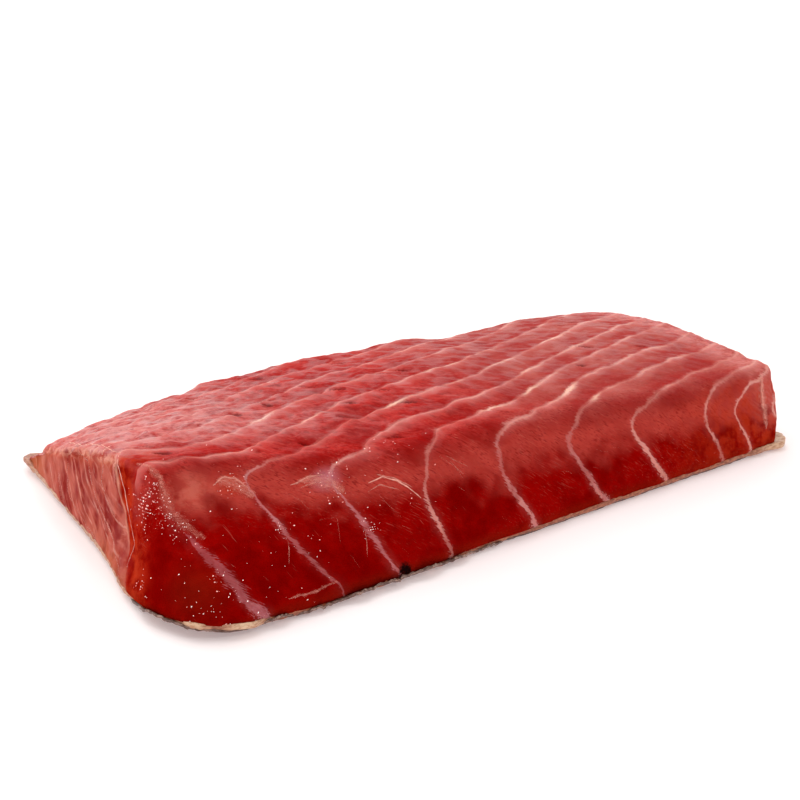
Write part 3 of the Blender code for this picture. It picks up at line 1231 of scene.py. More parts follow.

# %% [markdown]
# The top has a wet film, thinnest close to the crest and to the right. It is grainy and pale at the
# left, partly from drier fibres and partly a painted pink sheen, and grows smooth to the right.

# %% Fields of the top
def top_fields():
    """Where the top is filmed over, smooth, pale with painted sheen, or slit."""
    x, _, z = flesh_points.T
    film = mix(0.26, 1.0, ease_over((10.0, 44.0), zones["behind_crest"]))
    film *= mix(0.55, 1.0, ease_over((-10.0, -130.0), x)) * zones["top"]
    left_top = ease_over((-40.0, -140.0), x) * ease_over((14.0, 44.0), zones["behind_crest"])
    right_edge = ease_over((138.0, 158.0), x) * ease_over((8.0, 20.0), z)
    return {
        "top": zones["top"],
        "film": film + 0.12 * zones["end"],
        "smooth": ease_over((-40.0, 60.0), x),
        "pale_and_sheen": np.maximum(left_top * zones["top"], 0.9 * right_edge),
        "slit": slits,
    }


fields.update(top_fields())
print("points in slits:", int((slits > 0.5).sum()))

# %% [markdown]
# Now the mesh can be made with all these numbers on it. It rides on the part's body and
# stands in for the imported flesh.

# %% The flesh as a piece
flesh = build_mesh("flesh_muscle", flesh_shaped, flesh_faces, fields)
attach(flesh, "root")
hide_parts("flesh")
print("flesh piece carries", len(fields), "fields")

# %% [markdown]
# ## The finish of the flesh
#
# Raw tuna is a deep, glassy red: light goes in, loses its green and blue, and comes back from below.
# So the colour is saturated and dark, and a little light is let under the surface. Over it lie pale
# seams, thin scratches along the fibres, a dull veil of drier fibres and painted pink sheen on top,
# and a wet film that gives it its gloss. All of them are drawn with a few noises, some round and some
# drawn out along the fibres.

# %% Noises of the flesh
def flesh_grains(finish):
    """The noises that the colours and the relief share."""
    strands = finish.grain((15.0, 1.1, 1.1), FIBRE_TURN)
    threads = finish.grain((7.0, 0.45, 0.45), FIBRE_TURN)
    feather = finish.grain((4.0, 0.5, 0.5), FIBRE_TURN)
    return {
        "broad": finish.noise(finish.grain((24.0, 24.0, 24.0)), detail=3.0),
        "cloudy": finish.noise(finish.grain((6.0, 6.0, 6.0)), detail=5.0, roughness=0.6),
        "ragged": finish.noise(finish.grain((3.0, 3.0, 3.0)), detail=4.0, roughness=0.65),
        "strands": finish.noise(strands, detail=3.0, roughness=0.6),
        "threads": finish.noise(threads, detail=3.0, roughness=0.6),
        "feather": finish.noise(feather, detail=2.0),
    }


def seam_distance(finish, phase_name, gauge_name, ragged):
    """How many mm a place is from the middle of the nearest seam, unevenly measured."""
    part = (finish.field(phase_name) + 0.5).fraction() - 0.5
    return abs(part * finish.field(gauge_name) + 1.8 * (ragged - 0.5))


print("fibre grain is turned by", [round(turn, 2) for turn in FIBRE_TURN])

# %% [markdown]
# The muscle's own colour comes first. On the top each band is painted paler on its near side and
# darker behind: painted sheen and shade that make it look like a roof tile. The left half is spotted
# where it is torn. The brow has fine dark pits and pale strokes along the fibres.

# %% Colour of the muscle
FRONT_DEEP = (0.19, 0.0001, 0.0001, 1.0)
FRONT_BRIGHT = (0.30, 0.0008, 0.0004, 1.0)
FRONT_UPPER = (0.50, 0.054, 0.040, 1.0)
TOP_DARK = (0.33, 0.005, 0.004, 1.0)
TOP_LIGHT = (0.52, 0.036, 0.030, 1.0)
SMOOTH_DARK = (0.36, 0.030, 0.026, 1.0)
SMOOTH_LIGHT = (0.44, 0.085, 0.070, 1.0)
SPOT = (0.26, 0.005, 0.004, 1.0)
PIT = (0.17, 0.002, 0.002, 1.0)
STROKE = (0.62, 0.13, 0.095, 1.0)
SHEET = (0.56, 0.12, 0.085, 1.0)
# Pale top left: partly drier fibres, partly a painted pink sheen.
PALE_AND_SHEEN = (0.66, 0.21, 0.19, 1.0)
ORANGE = (0.48, 0.034, 0.010, 1.0)
BROWN = (0.20, 0.010, 0.003, 1.0)
STREAK = (0.66, 0.19, 0.16, 1.0)
SCRATCH = (0.60, 0.13, 0.10, 1.0)


def ground_color(finish, grains):
    """The red of the front cut, and over it the red of the top."""
    broad, cloudy = grains["broad"], grains["cloudy"]
    smooth = finish.field("smooth")
    deepness = (0.6 * broad + 0.4 * cloudy).rise(0.35, 0.65)
    front = finish.blend(FRONT_DEEP, FRONT_BRIGHT, deepness)
    front = finish.blend(front, FRONT_UPPER, finish.field("upper") * (0.45 + 0.90 * cloudy))
    # Painted sheen and shade of the tiles: paler on a band's near side, darker behind.
    tile_shade_and_sheen = 0.5 - finish.field("phase").fraction()
    mottle = grains["strands"] * (0.55 - 0.35 * smooth) + broad * (0.45 + 0.35 * smooth)
    mottle = mottle + 0.24 * tile_shade_and_sheen
    dark = finish.blend(TOP_DARK, SMOOTH_DARK, smooth)
    light = finish.blend(TOP_LIGHT, SMOOTH_LIGHT, smooth)
    top = finish.blend(dark, light, mottle.rise(0.36, 0.64))
    return finish.blend(front, top, 0.92 * finish.field("top"))


def muscle_color(finish, grains):
    """The colour of the muscle between its seams."""
    broad, cloudy = grains["broad"], grains["cloudy"]
    strands, threads = grains["strands"], grains["threads"]
    top = finish.field("top")
    brow = finish.field("brow")
    place = finish.grain((8.0, 2.4, 2.4), FIBRE_TURN)
    spots = finish.noise(place, detail=4.0, roughness=0.6).rise(0.54, 0.66)
    spots = spots * (1.0 - 0.8 * finish.field("smooth"))
    place = finish.grain((2.6, 0.55, 0.55), FIBRE_TURN)
    pits = finish.noise(place, detail=2.0).rise(0.52, 0.66) * cloudy.rise(0.36, 0.56)
    strokes = threads.rise(0.55, 0.70) * broad.rise(0.40, 0.60)
    # The veil paints pale fibres and a pink sheen on the top's left.
    sheen_veil = (0.6 * cloudy + 0.4 * strands).rise(0.38, 0.60)
    streaks = threads.rise(0.58, 0.76) * cloudy.rise(0.42, 0.62)
    hang = finish.noise(finish.grain((8.0, 0.5, 90.0), HANG_TURN), detail=2.0)
    patchy = finish.noise(finish.grain((11.0, 11.0, 11.0)), detail=2.0).rise(0.52, 0.66)
    scratches = hang.rise(0.66, 0.76) * patchy * (1.0 - top)
    return finish.layers(ground_color(finish, grains), (
        (SPOT, 0.75 * top * spots),
        (PIT, 0.62 * brow * pits),
        (STROKE, 0.40 * brow * strokes),
        (SHEET, finish.field("sheet") * (0.25 + 0.75 * cloudy.rise(0.35, 0.60))),
        (PALE_AND_SHEEN, finish.field("pale_and_sheen") * (0.12 + 0.72 * sheen_veil)),
        (ORANGE, finish.field("orange") * (0.10 + 0.90 * cloudy.rise(0.36, 0.62))),
        (BROWN, finish.field("brown") * (0.3 + 0.8 * cloudy)),
        (STREAK, 0.35 * streaks * top),
        (SCRATCH, 0.35 * scratches * (1.0 - finish.field("end"))),
    ))


brightening = FRONT_UPPER[0] / FRONT_DEEP[0]
print("the front's upper edge is", round(brightening, 1), "times as bright as its depth")

# %% [markdown]
# The seams are drawn by how far a place is from the nearest whole phase. On the front cut a seam is
# feathered, because tissue clings to the fibres on both sides. On the top it slopes: a pale skirt of
# painted sheen lies ahead of it and the next band starts hard behind it.

# %% Colour of the seams
TISSUE_ORANGE = (0.76, 0.31, 0.25, 1.0)
TISSUE_MAUVE = (0.48, 0.14, 0.165, 1.0)
TISSUE_TOP = (0.72, 0.34, 0.29, 1.0)
# Painted shine on the top's seams, where their steps catch the light.
TISSUE_PAINTED_SHINE = (0.88, 0.50, 0.38, 1.0)
SKIRT_AND_SHEEN = (0.62, 0.18, 0.16, 1.0)
BRUISE = (0.54, 0.17, 0.20, 1.0)
FEATHERING = 3.4


def seam_core(finish, grains, faint):
    """How much of a place the seam's own tissue covers."""
    ragged, feather = grains["ragged"], grains["feather"]
    top = finish.field("top")
    width = finish.field("seam_width")
    distance = seam_distance(finish, "phase", "gauge", ragged)
    half = 0.5 * width * (0.40 + 1.20 * ragged) * (1.0 + FEATHERING * (feather - 0.5))
    core = 1.0 - distance.rise(0.45 * half * (1.0 - top), 1.15 * half + 0.10 + 0.9 * top)
    on_top = 0.60 - 0.30 * finish.field("smooth")
    # Painted shine also makes a seam stronger.
    strength = (0.25 + 0.75 * faint) * (1.0 - on_top * top) + 0.8 * finish.field("shine")
    strength = strength + 0.20 * (1.0 - top)
    core = core * (0.60 + 0.70 * feather) * strength
    core = core * (1.0 - finish.field("end")) * width.rise(0.1, 0.6)
    return core * (1.0 - 0.35 * finish.field("mauve") * grains["cloudy"].rise(0.58, 0.42))


def seam_skirt_and_sheen(finish, grains, faint):
    """The pale haze beside a seam: on both sides in front; on the top only ahead of it, where it is a
    painted sheen.
    """
    top = finish.field("top")
    distance = seam_distance(finish, "phase", "gauge", grains["ragged"])
    ahead = finish.field("phase").fraction() * finish.field("gauge")
    on_front = 0.10 * (1.0 - distance.rise(0.3, 4.6)) * (1.0 - top)
    # On the top the skirt is a painted sheen ahead of the seam.
    skirt = on_front + 0.60 * (1.0 - ahead.rise(0.2, 6.5)) * top
    return skirt * (0.25 + 0.75 * faint) * (1.0 - finish.field("end"))


def with_seams(finish, color, core, grains, faint):
    """Lay the seams over the muscle."""
    tissue = finish.layers(TISSUE_ORANGE, (
        (TISSUE_MAUVE, finish.field("mauve")),
        (TISSUE_TOP, 0.9 * finish.field("top")),
        (TISSUE_PAINTED_SHINE, finish.field("shine")),
    ))
    return finish.layers(color, (
        (SKIRT_AND_SHEEN, seam_skirt_and_sheen(finish, grains, faint)),
        (tissue, core),
        (BRUISE, finish.field("bruise") * (0.6 + 0.6 * grains["cloudy"])),
    ))


print("a seam's width changes by a factor of up to", 1.0 + 0.5 * FEATHERING)

# %% [markdown]
# The two short ends are cut across the bands. They are drier, streaked along nested arcs,
# tan at the foot and the tip, and the left one has a torn, paler rim.

# %% Colour of the ends
END_DARK = (0.25, 0.018, 0.015, 1.0)
END_LIGHT = (0.49, 0.105, 0.075, 1.0)
END_STREAK = (0.62, 0.22, 0.17, 1.0)
END_ARC = (0.66, 0.29, 0.23, 1.0)
END_TAN = (0.50, 0.13, 0.045, 1.0)
RIM_GLOW = (0.55, 0.085, 0.038, 1.0)
RIM_TORN = (0.82, 0.42, 0.31, 1.0)
LIP = (0.80, 0.38, 0.27, 1.0)
# Painted shade inside the slits.
SLIT_SHADE = (0.14, 0.003, 0.003, 1.0)
# A near-black spot at the foot of the front cut.
FOOT_DARK_SPOT = (0.010, 0.002, 0.002, 1.0)


def end_color(finish, grains):
    """The streaky colour of the two short ends."""
    spot = {"X": 4.0 * finish.field("arcs"), "Y": 0.7 * finish.field("arcs_along")}
    place = finish.add("ShaderNodeCombineXYZ", {}, spot).outputs[0]
    streaky = finish.noise(place, detail=3.0, roughness=0.5, distortion=0.6)
    patches = finish.noise(finish.grain((9.0, 9.0, 14.0)), detail=3.0)
    tone = (0.25 * streaky + 0.75 * patches).rise(0.36, 0.60)
    distance = seam_distance(finish, "arcs", "arcs_gauge", grains["ragged"])
    lines = 1.0 - distance.rise(0.2, 1.5 * grains["ragged"])
    return finish.layers(END_DARK, (
        (END_LIGHT, tone),
        (END_STREAK, 0.50 * streaky.rise(0.52, 0.72)),
        (END_ARC, 0.6 * (lines * grains["cloudy"].rise(0.35, 0.6))),
    ))


def with_ends(finish, color, grains):
    """Lay the ends, their rims, the painted shade in the slits and the dark foot spot over the rest.
    """
    cloudy, ragged = grains["cloudy"], grains["ragged"]
    blot = finish.noise(finish.grain((2.2, 2.2, 2.2)), detail=3.0, roughness=0.7)
    return finish.layers(color, (
        (end_color(finish, grains), finish.field("end")),
        (END_TAN, finish.field("tan") * (0.15 + 0.9 * cloudy)),
        (RIM_GLOW, 0.60 * (finish.field("rim_glow") * cloudy.rise(0.30, 0.65))),
        (RIM_TORN, 0.6 * (finish.field("rim") * ragged.rise(0.40, 0.62))),
        (LIP, finish.field("lip") * (0.1 + 0.9 * ragged)),
        # Painted shade in the slits.
        (SLIT_SHADE, 0.8 * finish.field("slit").rise(0.05, 0.7)),
        (FOOT_DARK_SPOT, (finish.field("foot_dark_spot") * (0.1 + 1.8 * blot)).rise(0.30, 0.75)),
    ))


print("ends, rims, slits and stain are ready")

# %% [markdown]
# One shader can't be glassy and filmed at once, because how much a surface mirrors is one
# fixed number here. So two are mixed: one that mirrors nothing, for the clear deep front,
# and one with a wet film, for the top. The film itself is streaky.

# %% Flesh finish
def flesh_finish():
    """The finish of the red muscle."""
    material, finish = new_material("raw_flesh")
    grains = flesh_grains(finish)
    cloudy, ragged = grains["cloudy"], grains["ragged"]
    place = finish.grain((26.0, 26.0, 26.0))
    faint = finish.noise(place, detail=3.0).rise(0.40, 0.60)
    core = seam_core(finish, grains, faint)
    color = muscle_color(finish, grains)
    color = with_seams(finish, color, core, grains, faint)
    color = with_ends(finish, color, grains)
    height = 0.16 * grains["strands"] + 0.10 * grains["threads"] + 0.12 * cloudy
    height = height + 0.12 * core + 0.16 * finish.field("top") * ragged
    common = {
        "Base Color": color,
        "Subsurface Weight": 0.40,
        "Subsurface Radius": (1.0, 0.18, 0.10),
        "Subsurface Scale": 0.004,
        "Normal": finish.bump(height),
    }
    glassy = {"Roughness": 0.12 + 0.16 * cloudy, "Specular IOR Level": 0.0}
    filmed = {"Roughness": 0.20 + 0.24 * cloudy, "Specular IOR Level": 0.42}
    place = finish.grain((16.0, 5.0, 5.0), FIBRE_TURN)
    sheen = finish.noise(place, detail=3.0).rise(0.40, 0.60)
    film = finish.field("film") * (0.18 + 0.82 * sheen)
    sockets = {0: film, 1: finish.shader({**common, **glassy})}
    sockets[2] = finish.shader({**common, **filmed})
    finish.end(finish.add("ShaderNodeMixShader", {}, sockets).outputs[0])
    return material


flesh.data.materials.append(flesh_finish())
print("flesh finish has", len(flesh.data.materials[0].node_tree.nodes), "nodes")

# %% [markdown]
# ## Fat and skin as sheets
#
# Under the flesh lie a thin layer of fat and the skin. What shows of them is only their
# edge, and it is ragged: it frays, curls up at the front left corner and sticks out at the
# right. Each sheet is a set of rings: from the middle of its upper side out to the edge,
# round it, and back under. Near the edge the rings are close together.

# %% Rings of a sheet
SHEET_LONG = 400
SHEET_WIDE = 220
INSETS = (80.0, 60.0, 42.0, 28.0, 19.0, 13.0, 9.0, 6.4, 4.6, 3.3, 2.3, 1.5, 0.9, 0.4)


def sheet_rings(low, thickness):
    """Places and faces of an even sheet. Also, for each point, the direction straight out,
    how far in from the edge it lies, and the place on the edge it belongs to."""
    ring_u, ring_v = ring_shares(even_shares(SHEET_LONG, 0.1), even_shares(SHEET_WIDE, 0.1))
    length = RIGHT_X - LEFT_FRONT_X
    width = BACK_LEFT_Y - FRONT_LEFT_Y
    rows = [(inset, 1.0) for inset in INSETS]
    rows += [(0.05, 0.82), (0.0, 0.5), (0.05, 0.18)]
    rows += [(inset, 0.0) for inset in INSETS[::-1]]
    places, insets = [], []
    for inset, share in rows:
        u = mix(inset * MM / length, 1.0 - inset * MM / length, ring_u)
        v = mix(inset * MM / width, 1.0 - inset * MM / width, ring_v)
        x, y = plan_point(u, v, 0.0, flap_at(u))
        z = low + thickness * share + base_lift(x, y)
        places.append(settle((np.stack([x, y, z], axis=1) + SHIFT) / MM))
        insets.append(np.full(len(x), inset))
    count = len(ring_u)
    rings = [row * count + np.arange(count) for row in range(len(rows))]
    faces = [rings[0].tolist(), rings[-1][::-1].tolist()]
    for inner, outer in zip(rings, rings[1:]):
        faces += quads_between(outer, inner)
    edge = places[len(INSETS) + 1]
    forward = np.roll(edge, -1, axis=0) - np.roll(edge, 1, axis=0)
    outward = np.stack([forward[:, 1], -forward[:, 0], 0.0 * forward[:, 0]], axis=1)
    outward /= np.linalg.norm(outward, axis=1)[:, None]
    outward = np.tile(outward, (len(rows), 1))
    edge = np.tile(edge, (len(rows), 1))
    return np.concatenate(places), faces, outward, np.concatenate(insets), edge


def near(edge, x, y, reach):
    """How near the sheet's edge is to a place, from 0 to 1."""
    return np.exp(-(((edge[:, 0] - x) ** 2 + (edge[:, 1] - y) ** 2) / reach**2))


print("a sheet has", 2 * len(INSETS) + 3, "rings")

# %% [markdown]
# The fat shows as cream strips at the front left corner, a thin tan line along the front
# and a flap at the right. Its edge is pushed out where it shows and drawn in where it
# doesn't.

# %% Fat layer
def make_fat():
    """The fat under the flesh, with a frayed edge."""
    low = SKIN_THICKNESS + 0.5 * LAYER_GAP
    points, faces, outward, inset, edge = sheet_rings(low, FAT_THICKNESS + LAYER_GAP)
    strips = np.maximum(near(edge, -158.5, -82.0, 5.0), near(edge, -143.0, -89.3, 8.0))
    gap = np.maximum(near(edge, -152.8, -86.0, 2.2), near(edge, -166.0, -62.0, 11.0))
    flap = near(edge, 160.0, -78.0, 16.0)
    left = ease_over((-150.0, -153.0), edge[:, 0]) * ease_over((-62.0, -40.0), edge[:, 1])
    tip = near(edge, -157.0, 84.0, 9.0)
    at_edge = ease(1.0 - inset / 6.0)
    fray = 0.35 * rough(edge / 2.5, 201) + 0.3 * rough(edge / 9.0, 202)
    front = ease_over((-30.0, 10.0), edge[:, 0]) * ease_over((-50.0, -62.0), edge[:, 1])
    push = -0.25 + fray + 1.3 * strips - 1.6 * gap + 2.0 * flap + 0.4 * left + 1.6 * tip
    push += flap * 1.1 * rough(edge / 3.5, 204) + 0.6 * front
    lift = 0.35 * rough(edge / 4.0, 203) + 0.35 * strips + 0.1 * flap + 0.3 * left + 1.5 * tip
    points = points + outward * (push * at_edge)[:, None]
    upper = np.arange(len(points)) < len(points) // 2
    points[:, 2] += (lift + 0.9 * flap * upper) * at_edge
    cream = np.clip(strips + 0.8 * flap + 0.42 * left - 0.30 * tip, 0.0, 1.0)
    fat = build_mesh("fat_rim", points, faces, {"cream": cream})
    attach(fat, "root")
    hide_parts("fat_layer")
    return fat


fat = make_fat()
print("fat piece:", len(fat.data.vertices), "points")

# %% [markdown]
# Thick fat is cream and hides what lies under it. Where fat is thin the red shows through
# and it looks tan. The number stored on the edge blends the one into the other.

# %% Finish of the fat
THIN_DARK = (0.22, 0.045, 0.018, 1.0)
THIN_LIGHT = (0.48, 0.15, 0.065, 1.0)
THICK_DARK = (0.55, 0.24, 0.12, 1.0)
THICK_LIGHT = (0.80, 0.56, 0.36, 1.0)


def fat_finish():
    """Moist fat: cream where it is thick, tan and see-through where it is thin."""
    material, finish = new_material("belly_fat")
    cloudy = finish.noise(finish.grain((2.2, 2.2, 0.8)), detail=4.0, roughness=0.6)
    grains = finish.noise(finish.grain((0.6, 0.6, 0.3)), detail=2.0)
    thin = finish.blend(THIN_DARK, THIN_LIGHT, cloudy.rise(0.35, 0.65))
    thick = finish.blend(THICK_DARK, THICK_LIGHT, cloudy.rise(0.35, 0.6))
    finish.surface({
        "Base Color": finish.blend(thin, thick, finish.field("cream")),
        "Roughness": 0.32 + 0.2 * cloudy,
        "Coat Weight": 0.3 * grains,
        "Coat Roughness": 0.15,
        "Normal": finish.bump(0.15 * cloudy + 0.08 * grains),
    })
    return material


fat.data.materials.append(fat_finish())
print("fat finish has", len(fat.data.materials[0].node_tree.nodes), "nodes")

# %% [markdown]
# The skin is dark and silvery. It has come off a little along the front: short torn flaps
# stand up against the flesh, crinkled, and round the front left corner its edge curls up.
# Each curl is a place on the edge that lifts and pushes the sheet's outer rings.

# %% Skin
SKIN_CURLS = (
    # X and Y of the curl, its reach along the edge, how far it rises and how far it sticks out
    (-164.5, -66.0, 9.0, 3.0, 2.6),
    (-158.0, -80.0, 7.0, 1.4, 1.8),
    (-130.0, -90.0, 6.0, 3.0, 2.6),
    (-112.0, -90.0, 8.0, 1.6, 2.2),
    (-93.0, -90.0, 9.0, 3.2, 3.4),
    (-77.0, -89.0, 8.0, 2.8, 3.0),
    (-61.0, -88.0, 8.0, 4.2, 3.8),
    (-44.0, -87.0, 8.0, 2.6, 2.8),
    (-25.0, -86.0, 8.0, 1.2, 1.6),
    (150.0, -80.0, 10.0, 0.8, 0.6),
)


def make_skin():
    """The skin, with curled and crinkled flaps along its edge."""
    points, faces, outward, inset, edge = sheet_rings(0.0, SKIN_THICKNESS)
    at_edge = ease(1.0 - inset / 5.0)
    crinkle = rough(edge / 1.6, 211)
    rise = 0.25 * (1.0 + rough(edge / 5.0, 212))
    left = ease_over((-150.0, -153.0), edge[:, 0]) * ease_over((-52.0, -36.0), edge[:, 1])
    push = -0.75 + 0.25 * rough(edge / 3.0, 213) - 2.0 * left
    curled = np.zeros(len(points))
    for x, y, reach, up, out in SKIN_CURLS:
        here = near(edge, x, y, reach)
        curled = np.maximum(curled, here)
        rise = rise + here * (up + 0.9 * crinkle)
        push = push + here * (out + 0.45 * rough(edge / 1.3, 214))
    points = points + outward * (push * np.sqrt(at_edge) * (at_edge > 0))[:, None]
    points[:, 2] += np.maximum(rise, 0.0) * at_edge**1.5
    points[:, 2] = np.maximum(points[:, 2], 0.0)
    skin = build_mesh("skin_sheet", points, faces, {"curled": curled})
    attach(skin, "root")
    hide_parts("skin")
    return skin


skin = make_skin()
print("skin piece:", len(skin.data.vertices), "points")

# %% [markdown]
# Wet skin that still sticks to its fat looks dark brown. Where it is loose and wrinkled it
# catches the light and shows silver. A thin clear coat keeps all of it wet.

# %% Finish of the skin
SKIN_BROWN = (0.085, 0.027, 0.015, 1.0)
SKIN_SILVER = (0.46, 0.28, 0.22, 1.0)


def skin_finish():
    """Dark brown skin with silver where it is stretched over a wrinkle."""
    material, finish = new_material("silver_skin")
    place = finish.grain((1.6, 1.6, 0.7))
    wrinkles = finish.noise(place, detail=4.0, roughness=0.65, distortion=0.8)
    blotches = finish.noise(finish.grain((5.0, 5.0, 5.0)), detail=3.0)
    silver = (0.6 * wrinkles + 0.4 * blotches).rise(0.46, 0.62)
    silver = silver * (0.30 + 0.70 * finish.field("curled"))
    finish.surface({
        "Base Color": finish.blend(SKIN_BROWN, SKIN_SILVER, silver),
        "Roughness": 0.42 - 0.12 * silver,
        "Metallic": 0.15 * silver,
        "Coat Weight": 0.3,
        "Coat Roughness": 0.15,
        "Normal": finish.bump(0.35 * wrinkles),
    })
    return material


skin.data.materials.append(skin_finish())
print("skin finish has", len(skin.data.materials[0].node_tree.nodes), "nodes")

# %% [markdown]
# ## Strips of tissue
#
# Here and there the pale sheet between two bands stands out of the cut: as a bright edge on the top, a
# feathered fork on the front, or a thread that the knife drew down. Each is an arched strip laid on
# the flesh. Its places are listed and pulled onto the surface.

# %% Places of the strips
STRIPS = (
    # width in mm, paleness, and the places it runs through
    (3.0, 0.42, ((-156, -31, 49), (-153, -36, 48), (-151, -41, 45), (-152, -46, 41))),
    (6.5, 0.34, ((-151, -40, 46), (-152, -46, 41), (-153, -53, 37), (-150, -60, 33), (-146, -66, 29))),
    (0.9, 0.75, ((-155, -15, 47), (-158, -20, 46), (-160, -26, 40), (-160, -32, 30), (-161, -36, 27))),
    (0.7, 0.60, ((-161, -36, 27), (-163, -42, 21), (-164, -40, 10))),
    (1.0, 0.75, ((-156, 47, 27), (-156, 30, 35), (-156, 10, 42), (-156, -5, 45), (-156, -16, 47))),
    (1.3, 0.75, ((-159, -7, 43), (-157, -5, 44), (-154, -4, 45))),
    (0.9, 0.55, ((-157, 25, 36), (-160, 7, 36), (-160, -1, 23), (-163, -24, 13), (-165, -38, 5))),
    (0.9, 0.50, ((-159, -8, 43), (-160, -7, 32), (-161, -12, 27), (-161, -21, 23))),
    (0.8, 0.45, ((-159, 29, 29), (-160, 29, 13), (-161, 14, 8), (-163, -6, 5))),
    (0.7, 0.45, ((-159, 42, 17), (-161, 35, 6))),
    (0.9, 0.75, ((-74, -67, 35), (-68, -67, 36), (-62, -70, 34), (-57, -74, 29), (-55, -76, 27))),
    (0.6, 0.60, ((-70, -66, 37), (-63, -69, 35), (-57, -73, 31))),
    (0.6, 0.50, ((-76, -69, 32), (-70, -69, 34), (-63, -72, 31))),
    (1.2, 0.55, ((-104, -57, 37), (-96, -58, 39), (-90, -59, 39))),
    (0.7, 0.50, ((-101, -59, 36), (-94, -60, 37))),
    (0.5, 0.45, ((-115, -74, 24), (-119, -81, 18))),
    (0.4, 0.30, ((-99, -70, 26), (-92, -72, 27), (-95, -79, 19))),
    (0.5, 0.45, ((-83, -78, 21), (-86, -84, 13))),
    (0.4, 0.35, ((-72, -70, 31), (-69, -74, 26), (-66, -79, 22))),
    (0.5, 0.35, ((-107, -58, 35), (-103, -62, 33), (-101, -66, 29))),
    (0.5, 0.45, ((-37, -68, 38), (-27, -71, 32))),
    (0.5, 0.45, ((-36, -69, 36), (-31, -72, 30))),
    (0.4, 0.40, ((-40, -67, 38), (-34, -70, 33), (-32, -73, 29))),
    (1.5, 0.42, ((-102, -88, 9), (-112, -88, 8), (-124, -88, 8))),
    (7.0, 0.40, ((-131, -48, 42), (-127, -50, 41), (-123, -53, 39), (-120, -57, 36))),
    (1.2, 0.60, ((-133, -49, 41), (-128, -48, 43), (-124, -50, 42), (-121, -54, 39))),
    (5.5, 0.50, ((155, -65, 34), (153, -70, 28), (151, -74, 21), (150, -77, 12))),
    (1.8, 0.70, ((155, -66, 33), (153, -70, 28), (151, -74, 21))),
    (6.5, 0.42, ((-101, -58, 39), (-94, -60, 38), (-88, -63, 36), (-85, -66, 33))),
)
print("strips:", len(STRIPS))

# %% [markdown]
# The knife also leaves loose threads all over the front cut. They are too many to place by
# hand, so they are strewn by chance, with a fixed start so that they fall the same each time.

# %% Loose threads
LOOSE_COUNT = 40
LOOSE_LENGTH = (2.5, 8.0)
LOOSE_WIDTH = (0.25, 0.42)
LOOSE_PALENESS = (0.12, 0.32)
LOOSE_FALL = (75.0, 35.0)


def loose_threads(chance):
    """Short fine threads on the front cut, steep at the left and flatter to the right."""
    threads = []
    for _ in range(LOOSE_COUNT):
        x = chance.uniform(-148.0, 120.0)
        z = chance.uniform(8.0, 34.0)
        fall = mix(*LOOSE_FALL, ease_over((-120.0, 0.0), x))
        fall = radians(fall + chance.normal(0.0, 9.0))
        length = chance.uniform(*LOOSE_LENGTH)
        ends = [(x, -85.0, z), (x + length * cos(fall), -85.0, z - length * sin(fall))]
        threads.append((chance.uniform(*LOOSE_WIDTH), chance.uniform(*LOOSE_PALENESS), ends))
    return threads


print("loose threads:", LOOSE_COUNT)

# %% [markdown]
# A strip is made of short rows of points, laid side by side along its path. Each row arches
# over the flesh, and stores how much it hides, from nothing at its edges to most of it in
# the middle.

# %% Shape of the strips
STEP = 0.6
# Across a strip: the place from edge to edge, and how much of the flesh it covers there.
STRIP_PROFILE = (
    (-1.6, 0.0), (-1.0, 0.35), (-0.45, 0.9), (0.0, 1.0), (0.45, 0.9), (1.0, 0.35), (1.6, 0.0),
)
STRIP_LIFT = 0.06
STRIP_SWAY = 0.45
STRIP_HEIGHT = 0.22


def strip_path(surface, places, width):
    """Places and slopes of the flesh under a strip, and the strip's half width at each."""
    places = np.array(places, dtype=float)
    steps = np.linalg.norm(np.diff(places, axis=0), axis=1)
    run = np.concatenate([[0.0], np.cumsum(steps)])
    count = max(5, int(run[-1] / STEP))
    along = np.linspace(0.0, run[-1], count)
    path = np.stack([np.interp(along, run, places[:, axis]) for axis in range(3)], axis=1)
    sway = np.stack([noise(path / 3.5, 401), 0.0 * along, noise(path / 3.5, 402)], axis=1)
    path += STRIP_SWAY * min(1.0, width) * sway
    ragged = 1.0 + 0.45 * noise(path / 1.3, 403)
    half = 0.5 * width * ragged * np.sqrt(np.sin(pi * np.linspace(0.03, 0.97, count)))
    return [surface.find_nearest(Vector(place)) for place in path], half


def strip_points(path, half):
    """Rows of points across a strip that arch over the flesh."""
    points = []
    for number, (place, up, _, _) in enumerate(path):
        before = path[max(number - 1, 0)][0]
        after = path[min(number + 1, len(path) - 1)][0]
        aside = (after - before).cross(up).normalized()
        reach = float(half[number])
        for across, share in STRIP_PROFILE:
            rise = STRIP_LIFT + STRIP_HEIGHT * reach * share
            points.append(place + across * reach * aside + rise * up)
    return points


def strip_faces(first, rows):
    """Faces between the rows of a strip whose points are counted from first."""
    wide = len(STRIP_PROFILE)
    faces = []
    for row in range(rows - 1):
        for side in range(wide - 1):
            corner = first + row * wide + side
            faces.append((corner, corner + wide, corner + wide + 1, corner + 1))
    return faces


def make_strips():
    """Arched strips on the surface of the flesh, joined into one piece."""
    chance = np.random.default_rng(23)
    quads = [face for face in flesh_faces if len(face) == 4]
    surface = BVHTree.FromPolygons([Vector(point) for point in flesh_shaped], quads)
    points, faces, cover = [], [], []
    for width, paleness, places in (*STRIPS, *loose_threads(chance)):
        path, half = strip_path(surface, places, width)
        faces += strip_faces(len(points), len(path))
        points += strip_points(path, half)
        cover += [share * paleness for _, share in STRIP_PROFILE] * len(path)
    strips = build_mesh("tissue_strips", np.array(points), faces, {"cover": cover})
    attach(strips, "root")
    return strips


strips = make_strips()
print("strips and threads:", len(strips.data.polygons), "faces")

